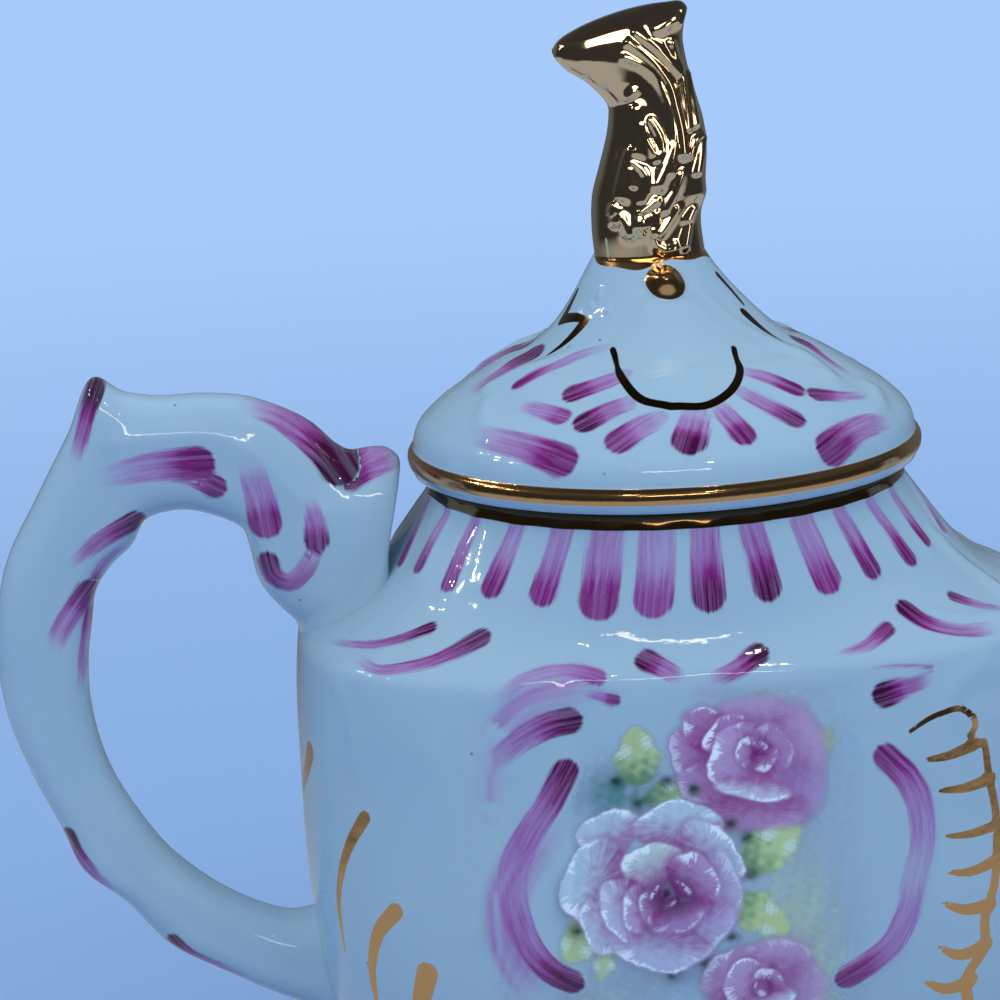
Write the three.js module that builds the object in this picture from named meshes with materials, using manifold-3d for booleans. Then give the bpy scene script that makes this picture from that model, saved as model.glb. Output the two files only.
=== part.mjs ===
// Miniature porcelain teapot with a scroll handle, a scroll spout and a domed lid with a gilded finial.
// Millimetres, +Z up. The origin is on the pot's axis, on the surface that the foot ring stands on.
// The handle points along -X and the spout along +X.
import * as THREE from 'three';
import { mergeVertices } from 'three/addons/utils/BufferGeometryUtils.js';
import Module from 'manifold-3d';

const wasm = await Module();
wasm.setup();

// Pot body: a hollow cast shell, oblong with rounded corners at the belly and round at the neck.
const bodyHalfLength = 26.0;
const bodyHalfDepth = 20.0;
const planSquareness = 2.7; // exponent of the plan's curve, 2 is an ellipse
const wall = 2.2;
const bellyHeight = 26.0;
const baseTuck = 6.5; // how much narrower the base is than the belly, on each side
const creaseHeight = 39.1; // edge between the wall and the shoulder
const creaseInset = 0.5; // how far the wall leans in from the belly to that edge
const shoulderFall = 8.5; // from the foot of the neck down to the edge
const shoulderSlope = 0.65; // share of the way out that the shoulder falls evenly, before it flattens
const neckRadius = 16.2;
const neckWall = 2.0;
const neckHeight = 1.4;

// Foot ring under the floor.
const footHeight = 4.0;
const footInset = 1.4; // from the base's edge in to the ring's waist
const footFlare = 1.2;
const footWidth = 3.4;

// Lid: a hollow dome with a brim that rests on the neck, and a ring under it that drops into the neck.
const brimOverhang = 1.15;
const brimThickness = 1.6;
const lidWall = 2.0;
const lidRise = 14.1; // from the brim's underside to the crown
const crownRadius = 3.6;
const flangeDepth = 4.4;
const flangeWall = 1.8;
const flangeClearance = 0.5;

// The dome's outline as shares of the way in from the brim and of the way up to the crown: a swelling brim,
// a ledge, then a hollow cone.
const domeOutline = [
  [0, 0], [0.04, 0.1], [0.13, 0.2], [0.26, 0.3], [0.39, 0.385], [0.51, 0.465], [0.63, 0.515],
  [0.73, 0.61], [0.82, 0.73], [0.93, 0.9], [1, 1],
];

// Finial on the crown: outline heights above the crown with the left side, right side and half depth.
const finialSections = [
  [0.0, -4.2, 3.1, 3.2],
  [2.0, -4.4, 3.2, 3.3],
  [4.0, -4.2, 3.5, 3.3],
  [6.0, -3.6, 3.8, 3.0],
  [8.1, -3.0, 3.6, 2.7],
  [9.7, -2.8, 3.3, 2.5],
  [10.8, -3.7, 3.0, 2.5],
  [12.0, -4.9, 2.7, 2.6],
  [12.9, -6.0, 2.5, 2.5],
  [13.7, -6.4, 2.4, 2.3],
  [14.6, -5.4, 2.4, 2.1],
  [15.4, -3.8, 2.5, 1.8],
  [16.1, -1.4, 2.6, 1.3],
  [16.6, 1.0, 2.5, 0.7],
];

// Handle: a scroll loop that leaves the shoulder, with a horn for the thumb and a curl beside the lid.
const handleReach = 46.0; // from the pot's axis to the far side of the loop
const handleCrest = 6.5; // top of the loop above the lid's seat
const handleTailDrop = 35.4; // lower root below the lid's seat
const rootThickness = 12.2;
const crestThickness = 7.8;
const gripThickness = 6.2;
const tailThickness = 4.8;
const handleDepth = 6.4;
const rootDepth = 8.6;
const hornHeight = 1.7; // horn's tip above the top of the loop
const hornThickness = 3.2;
const curlRadius = 2.1;
const curlClearance = 0.7; // between the curl and the lid's brim

// Spout: a hollow tapered S-curve that ends in a level mouth.
const spoutReach = 46.0; // from the pot's axis to the lip
const spoutLip = 4.6; // lip above the lid's seat
const spoutRootHeight = 26.0;
const spoutRootDepth = 16.0;
const spoutRootDrop = 21.6; // middle of the root below the lid's seat
const spoutMouth = 5.9; // outside width of the tube at the lip
const spoutWall = 1.4;

// Strainer holes through the body's wall, behind the spout.
const strainerHole = 2.0;
const strainerCircle = 7.6;
const strainerCount = 6;

// Gap between pieces that seat on each other.
const seatGap = 0.3;

// How finely round shapes are cut.
const planSides = 48;
const tubeSides = 18;

const neckFoot = creaseHeight + shoulderFall;
const seatHeight = neckFoot + neckHeight;
const brimBottom = seatHeight + seatGap;
const brimRadius = neckRadius + brimOverhang;
const crownHeight = brimBottom + lidRise;

// A closed skin over rings of equal point counts. A ring runs anticlockwise seen from the next one.
function loft(rings, endless = false) {
  const count = rings[0].length;
  const points = rings.flat();
  const faces = [];
  const bands = endless ? rings.length : rings.length - 1;
  for (let band = 0; band < bands; band += 1) {
    const low = band * count;
    const high = ((band + 1) % rings.length) * count;
    for (let side = 0; side < count; side += 1) {
      const next = (side + 1) % count;
      faces.push(low + side, low + next, high + next);
      faces.push(low + side, high + next, high + side);
    }
  }
  if (!endless) {
    const first = points.push(middle(rings[0])) - 1;
    const last = points.push(middle(rings.at(-1))) - 1;
    const top = (rings.length - 1) * count;
    for (let side = 0; side < count; side += 1) {
      const next = (side + 1) % count;
      faces.push(first, next, side);
      faces.push(last, top + side, top + next);
    }
  }
  const geometry = new THREE.BufferGeometry().setFromPoints(points);
  geometry.setIndex(faces);
  return geometry;
}

function middle(ring) {
  const sum = new THREE.Vector3();
  ring.forEach((point) => sum.add(point));
  return sum.divideScalar(ring.length);
}

// A level ring: halfX and halfY are its half sizes, and squareness shapes its corners.
function levelRing(halfX, halfY, z, squareness = 2, sides = planSides) {
  const power = 2 / squareness;
  return Array.from({ length: sides }, (_, side) => {
    const turn = (side / sides) * 2 * Math.PI;
    const x = Math.sign(Math.cos(turn)) * Math.abs(Math.cos(turn)) ** power;
    const y = Math.sign(Math.sin(turn)) * Math.abs(Math.sin(turn)) ** power;
    return new THREE.Vector3(halfX * x, halfY * y, z);
  });
}

// Manifold solids for cutting, and back.
function solid(geometry) {
  const bare = geometry.clone();
  bare.deleteAttribute('normal');
  bare.deleteAttribute('uv');
  const merged = mergeVertices(bare);
  const vertProperties = Float32Array.from(merged.attributes.position.array);
  const triVerts = Uint32Array.from(merged.index.array);
  return new wasm.Manifold(new wasm.Mesh({ numProp: 3, vertProperties, triVerts }));
}

function skin(manifold) {
  const { vertProperties, triVerts } = manifold.getMesh();
  const geometry = new THREE.BufferGeometry();
  geometry.setAttribute('position', new THREE.BufferAttribute(vertProperties, 3));
  geometry.setIndex(new THREE.BufferAttribute(triVerts, 1));
  return geometry;
}

// The rings of the pot's outside from base to lip, drawn in by inset. A negative inset grows the shape.
function bodyRings(inset) {
  const floor = footHeight + inset;
  const length = bodyHalfLength - inset;
  const depth = bodyHalfDepth - inset;
  const neck = neckRadius - (inset > 0 ? neckWall : inset);
  const rings = [];
  const tuckSteps = 8;
  for (let step = 0; step <= tuckSteps; step += 1) {
    const turn = (step / tuckSteps) * (Math.PI / 2);
    const tuck = baseTuck * (1 - Math.sin(turn));
    const z = bellyHeight - (bellyHeight - floor) * Math.cos(turn);
    rings.push(levelRing(length - tuck, depth - tuck, z, planSquareness));
  }
  const edgeZ = creaseHeight - Math.max(inset, 0) / 2;
  rings.push(levelRing(length, depth, (bellyHeight + edgeZ) / 2, planSquareness));
  const edge = levelRing(length - creaseInset, depth - creaseInset, edgeZ, planSquareness);
  const neckRing = levelRing(neck, neck, neckFoot);
  const shoulderSteps = 8;
  for (let step = 0; step <= shoulderSteps; step += 1) {
    const rise = 1 - (step / shoulderSteps) ** 1.5;
    const spread = shoulderSlope * rise + (1 - shoulderSlope) * rise ** 6;
    rings.push(neckRing.map((point, side) => point.clone().lerp(edge[side], spread)
      .setZ(neckFoot - (neckFoot - edgeZ) * rise)));
  }
  rings.push(levelRing(neck, neck, seatHeight - Math.min(inset, 0)));
  return rings;
}

// The pot as a full solid grown by the seat gap: what is luted on to the pot is cut by it.
const potRoom = solid(loft(bodyRings(-seatGap)));

function potBody() {
  const shell = loft([...bodyRings(0), ...bodyRings(wall).reverse()]);
  const holeX = bodyHalfLength;
  const holeZ = seatHeight - spoutRootDrop;
  let pierced = solid(shell);
  for (let hole = 0; hole <= strainerCount; hole += 1) {
    const turn = (hole / strainerCount) * 2 * Math.PI;
    const out = hole < strainerCount ? strainerCircle / 2 : 0;
    const drill = new THREE.CylinderGeometry(strainerHole / 2, strainerHole / 2, 6 * wall, 12);
    drill.rotateZ(Math.PI / 2);
    drill.translate(holeX, out * Math.cos(turn), holeZ + out * Math.sin(turn));
    pierced = pierced.subtract(solid(drill));
  }
  return skin(pierced);
}

function footRing() {
  const waistX = bodyHalfLength - baseTuck - footInset;
  const waistY = bodyHalfDepth - baseTuck - footInset;
  const ring = (grow, z) => levelRing(waistX + grow, waistY + grow, z, planSquareness);
  const top = footHeight - seatGap;
  return loft([
    ring(-footWidth, 0),
    ring(footFlare, 0),
    ring(footFlare, top * 0.25),
    ring(0, top * 0.7),
    ring(0, top),
    ring(-footWidth, top),
  ], true);
}

// A ring square to a path in the XZ plane, half thick in that plane and depth from front to back.
function pathRing(place, along, half, halfDepth) {
  const out = new THREE.Vector3(0, 1, 0).cross(along);
  return Array.from({ length: tubeSides }, (_, side) => {
    const turn = (side / tubeSides) * 2 * Math.PI;
    const point = place.clone().addScaledVector(out, half * Math.cos(turn));
    return point.add(new THREE.Vector3(0, halfDepth * Math.sin(turn), 0));
  });
}

// A tube through stations of x, z, thickness and depth, with inset taken off its skin.
function sweptTube(stations, steps, inset = 0) {
  const places = stations.map(([x, z]) => new THREE.Vector3(x, 0, z));
  const path = new THREE.CatmullRomCurve3(places, false, 'centripetal');
  const sizes = new THREE.SplineCurve(stations.map(([, , thick, deep]) => new THREE.Vector2(thick, deep)));
  const rings = [];
  for (let step = 0; step <= steps; step += 1) {
    const share = step / steps;
    const half = sizes.getPoint(share).divideScalar(2).subScalar(inset);
    rings.push(pathRing(path.getPoint(share), path.getTangent(share), half.x, half.y));
  }
  return loft(rings);
}

function handle() {
  const gripX = handleReach - gripThickness / 2;
  const crestMiddle = handleCrest - crestThickness / 2;
  const flank = (rootThickness + crestThickness) / 2;
  // Shares of the way out from the brim to the reach, and of the way down from the seat to the lower root.
  const out = (share) => -(brimRadius + (handleReach - brimRadius) * share);
  const down = (share) => seatHeight - handleTailDrop * share;
  const loop = sweptTube([
    [out(-0.035), down(0.282), rootThickness, rootDepth],
    [out(0.188), down(0.124), rootThickness, rootDepth],
    [out(0.335), down(-0.003), flank, handleDepth],
    [out(0.565), seatHeight + crestMiddle, crestThickness, handleDepth],
    [out(0.756), down(0.008), crestThickness, handleDepth],
    [out(0.867), down(0.189), gripThickness, handleDepth],
    [-gripX, down(0.353), gripThickness, handleDepth],
    [out(0.798), down(0.638), tailThickness, handleDepth],
    [out(0.64), down(0.794), tailThickness, handleDepth],
    [-bodyHalfLength * 1.154, down(0.91), tailThickness, handleDepth],
    [-bodyHalfLength * 0.77, down(1), tailThickness, rootDepth],
  ], 44);
  const crestZ = seatHeight + handleCrest;
  const hornX = out(0.721);
  const horn = sweptTube([
    [hornX + hornThickness * 0.75, crestZ - crestThickness / 2, hornThickness, handleDepth * 0.8],
    [hornX + hornThickness * 0.31, crestZ - hornThickness / 4, hornThickness * 0.8, handleDepth * 0.5],
    [hornX, crestZ + hornHeight, hornThickness * 0.2, handleDepth * 0.15],
  ], 6);
  const curl = new THREE.SphereGeometry(curlRadius, 12, 8);
  curl.translate(-(brimRadius + curlClearance + curlRadius), 0, seatHeight);
  const lidRoom = loft([
    levelRing(brimRadius + curlClearance, brimRadius + curlClearance, brimBottom - curlClearance),
    levelRing(brimRadius + curlClearance, brimRadius + curlClearance, crownHeight),
  ]);
  const scroll = solid(loop).add(solid(horn)).add(solid(curl));
  return skin(scroll.subtract(solid(lidRoom)).subtract(potRoom));
}

function spout() {
  const lipZ = seatHeight + spoutLip;
  const lipX = spoutReach - spoutMouth / 2;
  const rootZ = seatHeight - spoutRootDrop;
  const rootX = bodyHalfLength * 0.81;
  const taper = (share) => spoutMouth + (spoutRootHeight - spoutMouth) * share;
  const narrow = (share) => spoutMouth + (spoutRootDepth - spoutMouth) * share;
  // Shares of the way out and up from the root to the lip. The first station is inside the pot.
  const out = (share) => rootX + (lipX - rootX) * share;
  const up = (share) => rootZ + (lipZ - rootZ) * share;
  const stations = [
    [out(-0.54), up(-0.04), taper(1), narrow(1)],
    [out(0), up(0), taper(1), narrow(1)],
    [out(0.245), up(0.04), taper(0.72), narrow(0.77)],
    [out(0.483), up(0.176), taper(0.45), narrow(0.52)],
    [out(0.673), up(0.42), taper(0.26), narrow(0.31)],
    [out(0.791), up(0.65), taper(0.11), narrow(0.14)],
    [out(0.9), up(0.863), taper(0.01), narrow(0.02)],
    [out(1), up(1), taper(0), narrow(0)],
  ];
  const bore = sweptTube(stations, 26, spoutWall);
  const mouthDrill = new THREE.CylinderGeometry(1, 1, 1, tubeSides);
  const boreRadius = spoutMouth / 2 - spoutWall;
  mouthDrill.scale(boreRadius, spoutMouth, boreRadius);
  mouthDrill.rotateX(Math.PI / 2);
  mouthDrill.translate(lipX, 0, lipZ);
  const tube = solid(sweptTube(stations, 26));
  return skin(tube.subtract(solid(bore)).subtract(solid(mouthDrill)).subtract(potRoom));
}

function lidCover() {
  const span = brimRadius - crownRadius;
  const edgeZ = brimBottom + brimThickness;
  const dome = domeOutline.map(([inward, upward]) => [
    brimRadius - span * inward,
    edgeZ + (crownHeight - edgeZ) * upward,
  ]);
  const inner = dome.map(([radius, z]) => [radius - lidWall, z - lidWall]);
  const inside = inner.filter(([radius]) => radius < flangeInner);
  const circle = ([radius, z]) => levelRing(radius, radius, z);
  return loft([
    ...inside.reverse().map(circle),
    circle([flangeInner, brimBottom]),
    circle([brimRadius - brimThickness / 4, brimBottom]),
    circle([brimRadius, brimBottom + brimThickness / 4]),
    ...dome.map(circle),
  ]);
}

const flangeOuter = neckRadius - neckWall - flangeClearance;
const flangeInner = flangeOuter - flangeWall;

function lidFlange() {
  const circle = (radius, z) => levelRing(radius, radius, z);
  const top = brimBottom - seatGap;
  const bottom = top - flangeDepth;
  return loft([
    circle(flangeInner, bottom),
    circle(flangeOuter, bottom),
    circle(flangeOuter, top),
    circle(flangeInner, top),
  ], true);
}

function finial() {
  const base = crownHeight + seatGap;
  return loft(finialSections.map(([rise, left, right, halfDepth]) => {
    const ring = levelRing((right - left) / 2, halfDepth, base + rise, 2, tubeSides);
    return ring.map((point) => point.setX(point.x + (left + right) / 2));
  }));
}

const porcelain = { color: '#a3c0dc', roughness: 0.12, metalness: 0 };
const gilding = { color: '#a5824a', roughness: 0.2, metalness: 1 };

const teapot = new THREE.Group();
function addPiece(name, geometry, finish) {
  const piece = new THREE.Mesh(geometry, new THREE.MeshStandardMaterial(finish));
  piece.name = name;
  piece.geometry.computeVertexNormals();
  teapot.add(piece);
}

addPiece('pot_body', potBody(), porcelain);
addPiece('foot_ring', footRing(), porcelain);
addPiece('spout', spout(), porcelain);
addPiece('handle', handle(), porcelain);
addPiece('lid_cover', lidCover(), porcelain);
addPiece('lid_flange', lidFlange(), porcelain);
addPiece('finial', finial(), gilding);

export default teapot;
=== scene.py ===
import math
import bpy
import numpy as np
from mathutils import Matrix, Vector


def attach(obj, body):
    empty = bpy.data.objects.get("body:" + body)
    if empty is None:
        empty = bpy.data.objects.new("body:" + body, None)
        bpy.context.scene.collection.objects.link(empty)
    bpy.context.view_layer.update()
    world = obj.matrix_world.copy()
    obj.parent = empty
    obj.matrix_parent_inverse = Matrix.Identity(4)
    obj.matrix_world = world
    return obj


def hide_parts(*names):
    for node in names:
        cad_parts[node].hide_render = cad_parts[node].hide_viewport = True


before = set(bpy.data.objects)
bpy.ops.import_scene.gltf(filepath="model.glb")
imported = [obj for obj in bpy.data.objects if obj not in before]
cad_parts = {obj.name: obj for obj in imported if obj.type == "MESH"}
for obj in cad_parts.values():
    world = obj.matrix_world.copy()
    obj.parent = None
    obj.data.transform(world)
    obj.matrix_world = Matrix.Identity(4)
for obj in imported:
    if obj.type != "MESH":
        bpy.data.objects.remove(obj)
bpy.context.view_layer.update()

# Pot body: a hollow shell of slip-cast porcelain, oblong with rounded corners at the belly and round at the
# neck, cast in one with low scrollwork and gadroons. It is glazed pale blue, brushed with manganese purple
# and gilded with drops, a comb and a band round the lip.
mm = 0.001  # Sizes are in millimetres, and cast_skin brings them to metres.
body_half_length, body_half_depth = 25.95, 19.7
body_squareness = 2.7
body_columns = 380
base_height, belly_height, taper_height = 4.0, 26.0, 32.5
shoulder_height, neck_height, lip_height = 39.1, 47.6, 48.4
base_narrowing, shoulder_narrowing = 6.5, 0.5
neck_radius, neck_bore, lip_rise = 16.2, 14.2, 0.6
wall = 2.2
# Millimetres past the nearest edge of paint or gold, where a piece has none.
bare = -3.0


def pot_profile(inset, neck, rows):
    """Rows of half length, half depth, share of the oblong plan, neck radius and height, from the base up."""
    lift = np.linspace(0, math.pi / 2, 80)
    wall_z = np.linspace(belly_height, shoulder_height - inset / 2, 60)[1:]
    rise = np.linspace(1, 0, 80)[1:]
    taper = np.clip((wall_z - taper_height) / (shoulder_height - taper_height), 0, 1)
    shoulder = np.full(rise.size, shoulder_narrowing)
    narrower = [base_narrowing * (1 - np.sin(lift)), shoulder_narrowing * taper**2, shoulder]
    narrower = np.concatenate(narrower) + inset
    oblong = np.concatenate([np.ones(lift.size + wall_z.size), 0.65 * rise + 0.35 * rise**6])
    bowl_z = belly_height - (belly_height - base_height - inset) * np.cos(lift)
    height = [bowl_z, wall_z, neck_height - (neck_height - shoulder_height + inset / 2) * rise]
    height = np.concatenate(height)
    front = (body_half_depth - narrower) * oblong + neck * (1 - oblong)
    reach = np.concatenate([[0], np.cumsum(np.hypot(np.diff(front), np.diff(height)))])
    sharp = [body_half_length - narrower, body_half_depth - narrower, oblong, 0 * height + neck, height]
    # The creases are softened, as glaze and casting soften them.
    step, softness, near = 0.1, 0.45, 15
    even = np.arange(0, reach[-1], step)
    blur = np.exp(-0.5 * (np.arange(-near, near + 1) * step / softness) ** 2)
    blur /= blur.sum()
    soft = [np.convolve(np.pad(np.interp(even, reach, c), near, "edge"), blur, "valid") for c in sharp]
    return np.column_stack(soft)[np.linspace(0, even.size - 1, rows).round().astype(int)]


def plan_radius(half_x, half_y, oblong, neck, turns):
    """Distance from the axis at each turn: an oblong with rounded corners that passes into a round neck."""
    shape = np.abs(np.sin(turns) / half_x) ** body_squareness
    shape = shape + np.abs(np.cos(turns) / half_y) ** body_squareness
    return neck * (1 - oblong) + shape ** (-1 / body_squareness) * oblong


def plan_rings(rows, turns):
    """Rings of points round the axis: turn 0 is the front, a quarter turn on is the spout's side."""
    *plan, height = (c[:, None] for c in rows.T)
    radius = plan_radius(*plan, turns)
    return np.stack([radius * np.sin(turns), -radius * np.cos(turns), height + 0 * turns], -1)


def outward(rings):
    """Unit normals of a skin over closed rings."""
    ring = rings[:, :-1]
    side = np.roll(ring, -1, 1) - np.roll(ring, 1, 1)
    normal = np.cross(np.concatenate([side, side[:, :1]], 1), np.gradient(rings, axis=0))
    return normal / np.maximum(np.linalg.norm(normal, axis=-1, keepdims=True), 1e-9)


def smooth_path(points, step):
    """Points at an even step along a smooth curve through the given ones."""
    points = np.asarray(points, float)
    if len(points) == 2:
        points = np.array([points[0], points.mean(0), points[1]])
    reach = np.concatenate([[0], np.cumsum(np.linalg.norm(np.diff(points, axis=0), axis=1))])
    slope = np.gradient(points, reach, axis=0)
    even = np.linspace(0, reach[-1], max(int(reach[-1] / step), 4) + 1)
    low = np.clip(np.searchsorted(reach, even, "right") - 1, 0, len(points) - 2)
    span = (reach[low + 1] - reach[low])[:, None]
    t = (even - reach[low])[:, None] / span
    start = (1 + 2 * t) * points[low] + t * span * slope[low]
    end = (3 - 2 * t) * points[low + 1] + (t - 1) * span * slope[low + 1]
    return (1 - t) ** 2 * start + t**2 * end


def cast_skin(name, rings):
    """A mesh object over rings whose first point comes again at the end, in millimetres."""
    rows, columns = rings.shape[0] - 1, rings.shape[1] - 1
    bpy.ops.object.select_all(action="DESELECT")
    bpy.ops.mesh.primitive_grid_add(x_subdivisions=columns, y_subdivisions=rows, size=2)
    piece = bpy.context.object
    piece.name = piece.data.name = name
    flat = np.empty(len(piece.data.vertices) * 3, np.float32)
    piece.data.vertices.foreach_get("co", flat)
    flat = flat.reshape(-1, 3)
    column = np.rint((flat[:, 0] + 1) / 2 * columns).astype(int)
    row = np.rint((flat[:, 1] + 1) / 2 * rows).astype(int)
    piece.data.vertices.foreach_set("co", (rings[row, column] * mm).astype(np.float32).ravel())
    return piece, row * (columns + 1) + column


def keep_layers(piece, order, **layers):
    """Stores one number or three for each point of the skin as attributes of the mesh."""
    for name, values in layers.items():
        kind, field = ("FLOAT", "value") if values.ndim == 1 else ("FLOAT_VECTOR", "vector")
        layer = piece.data.attributes.new(name, kind, "POINT")
        layer.data.foreach_set(field, values[order].astype(np.float32).ravel())


def close_skin():
    """Merges the seam and the poles of the new skin, turns its faces outwards and smooths them."""
    bpy.ops.object.mode_set(mode="EDIT")
    bpy.ops.mesh.select_all(action="SELECT")
    bpy.ops.mesh.remove_doubles(threshold=1e-6)
    bpy.ops.mesh.normals_make_consistent(inside=False)
    bpy.ops.object.mode_set(mode="OBJECT")
    bpy.ops.object.shade_smooth()


def half_width(run, head, tail):
    """Half the width of a stroke along its run, which swells soon after its tail."""
    return (tail + (head - tail) * run**0.6) / 2


def brush_over(place, facing, strokes):
    """Layers of brush strokes: edge, run and strength, and then across, along and the brush's own seed.

    A fifth number tells where in its run a stroke begins: 0 at a fine tail, -1 with a head at both ends."""
    far_off, path_step, waist, brush_depth = -9.0, 0.5, 0.18, 0.15
    place, facing = place.reshape(-1, 3), facing.reshape(-1, 3)
    paint, bristle = np.zeros((len(place), 3)), np.zeros((len(place), 3))
    paint[:, 0] = far_off
    wettest = paint[:, 0].copy()
    for seed, (points, head, tail, strength, *begins) in enumerate(strokes):
        # Only points close to the stroke are looked at.
        path = smooth_path(points, path_step)
        margin = 2 + 1.2 * max(head, tail)
        near = np.flatnonzero(np.all((place > path.min(0) - margin) & (place < path.max(0) + margin), 1))
        steps = np.diff(path, axis=0)
        length = np.linalg.norm(steps, axis=1)
        start = np.concatenate([[0], np.cumsum(length)])
        offset = place[near, None] - path[:-1]
        share = np.clip((offset * steps).sum(-1) / length**2, 0, 1)
        gap = offset - share[..., None] * steps
        pick = np.linalg.norm(gap, axis=-1).argmin(1)
        row = np.arange(near.size)
        gap, share = gap[row, pick], share[row, pick]
        along = start[pick] + share * length[pick]
        begin = sum(begins)
        run = begin + (1 - begin) * along / start[-1]
        if begin < 0:
            run = np.hypot(run, waist) / math.hypot(1, waist)
        edge = half_width(run, head, tail) - np.linalg.norm(gap, axis=1)
        # Where strokes cross, the wetter one lies on top.
        wet = np.where(edge > 0, (np.minimum(edge, brush_depth) + 0.5 * run) * strength, edge)
        over = wet > wettest[near]
        wettest[near[over]] = wet[over]
        paint[near[over]] = np.column_stack([edge, run, np.full(near.size, strength)])[over]
        sideways = np.cross(facing[near], steps[pick] / length[pick, None])
        across = (gap * sideways).sum(1)
        bristle[near[over]] = np.column_stack([across, along, np.full(near.size, seed)])[over]
    return paint, bristle


def ridge_height(place, facing, ridges):
    """How far soft ridges stand out of the skin at each of its points, in millimetres."""
    swell = np.zeros(place.shape[0] * place.shape[1])
    for ridge in ridges:
        _, head, tail, height = ridge
        layer, _ = brush_over(place, facing, [ridge])
        half = half_width(layer[:, 1], head, tail)
        swell += (height * np.exp(-(((half - layer[:, 0]) / half) ** 2))) ** 3
    return np.cbrt(swell).reshape(place.shape[:2] + (1,))


def pot_place(points):
    """Points on the pot's outside from turns in degrees, 0 at the front, and heights."""
    rows = np.array([[np.interp(height, shell[:, 4], c) for c in shell.T] for _, height in points])
    return np.array([plan_rings(row[None], np.radians([turn]))[0, 0] for row, (turn, _) in zip(rows, points)])


def both_faces(strokes, place):
    """The strokes on the front and their mirror image on the back, as places on the piece."""
    front = [(place(points), *sizes) for points, *sizes in strokes]
    return front + [(points * [1, -1, 1], *sizes) for points, *sizes in front]


# The skin runs from the middle of the underside up the outside, over the lip and down the inside. Its columns
# stand at even distances round the belly.
belly = np.linspace(-math.pi / 2, 1.5 * math.pi, 4001)
belly_half_length, belly_half_depth = 26.0, 20.0
belly_row = np.array([[belly_half_length, belly_half_depth, 1, neck_radius, belly_height]])
belly_ring = plan_rings(belly_row, belly)[0]
girth = np.concatenate([[0], np.cumsum(np.linalg.norm(np.diff(belly_ring, axis=0), axis=1))])
turns = np.interp(np.linspace(0, girth[-1], body_columns + 1), girth, belly)
outer = pot_profile(inset=0, neck=neck_radius, rows=180)
inner = pot_profile(inset=wall, neck=neck_bore, rows=34)[::-1]
round_plan = (20.0, 20.0, 0.0)
neck_rows = np.array([(*round_plan, neck_radius, z) for z in np.linspace(neck_height + 0.1, lip_height, 4)])
lip_middle, lip_half = (neck_radius + neck_bore) / 2, (neck_radius - neck_bore) / 2
lip_rows = np.array([
    (*round_plan, lip_middle + lip_half * math.cos(a), lip_height + lip_rise * math.sin(a))
    for a in np.linspace(0, math.pi, 10)[1:-1]
])
pole = np.array([1e-5, 1e-5, 1, 1, 1])
shell = np.vstack([outer, neck_rows])
pot = plan_rings(np.vstack([outer[0] * pole, shell, lip_rows, inner, inner[-1] * pole]), turns)
pot_facing = outward(pot)

# Scrollwork cast in low relief, as turn and height along each ridge, its width at both ends and its height.
pot_ridges = [
    ([(-36.8, 37.8), (-31.1, 39.3), (-24.8, 39.6), (-18.9, 39.1)], 1.9, 1.9, 0.22),
    ([(-34.4, 35.1), (-30.5, 37.3), (-24.8, 38.0)], 2.2, 2.2, 0.2),
    ([(-33.5, 24.1), (-32.5, 28.1), (-29.0, 31.3), (-25.3, 33.2)], 2.6, 2.2, 0.2),
    ([(-33.5, 24.1), (-32.1, 22.0), (-29.4, 20.4), (-25.8, 19.0)], 2.4, 2.2, 0.18),
    ([(31.7, 32.8), (36.8, 30.1), (38.3, 27.2), (35.8, 24.5), (34.7, 21.9), (32.3, 19.8),
      (24.8, 18.0)], 2.4, 2.4, 0.15),
    ([(67.7, 44.0), (69.1, 42.4), (70.7, 41.0), (69.5, 40.4)], 1.6, 1.6, 0.3),
    ([(42.8, 41.7), (46.5, 41.0), (51.3, 40.2), (59.6, 39.7)], 1.5, 1.5, 0.25),
    ([(41.2, 34.0), (44.3, 36.4), (51.1, 37.3), (54.8, 35.5), (52.2, 33.7), (48.0, 34.6)], 1.6, 1.6, 0.15),
    ([(-63.4, 37.5), (-60.3, 35.1), (-59.4, 31.8)], 1.8, 1.8, 0.15),
    ([(-45.8, 34.0), (-44.0, 30.3), (-43.9, 26.6)], 2.0, 2.0, 0.15),
    ([(-37.5, 33.1), (-37.5, 28.1), (-38.0, 22.6)], 2.6, 2.6, 0.2),
]
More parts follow.
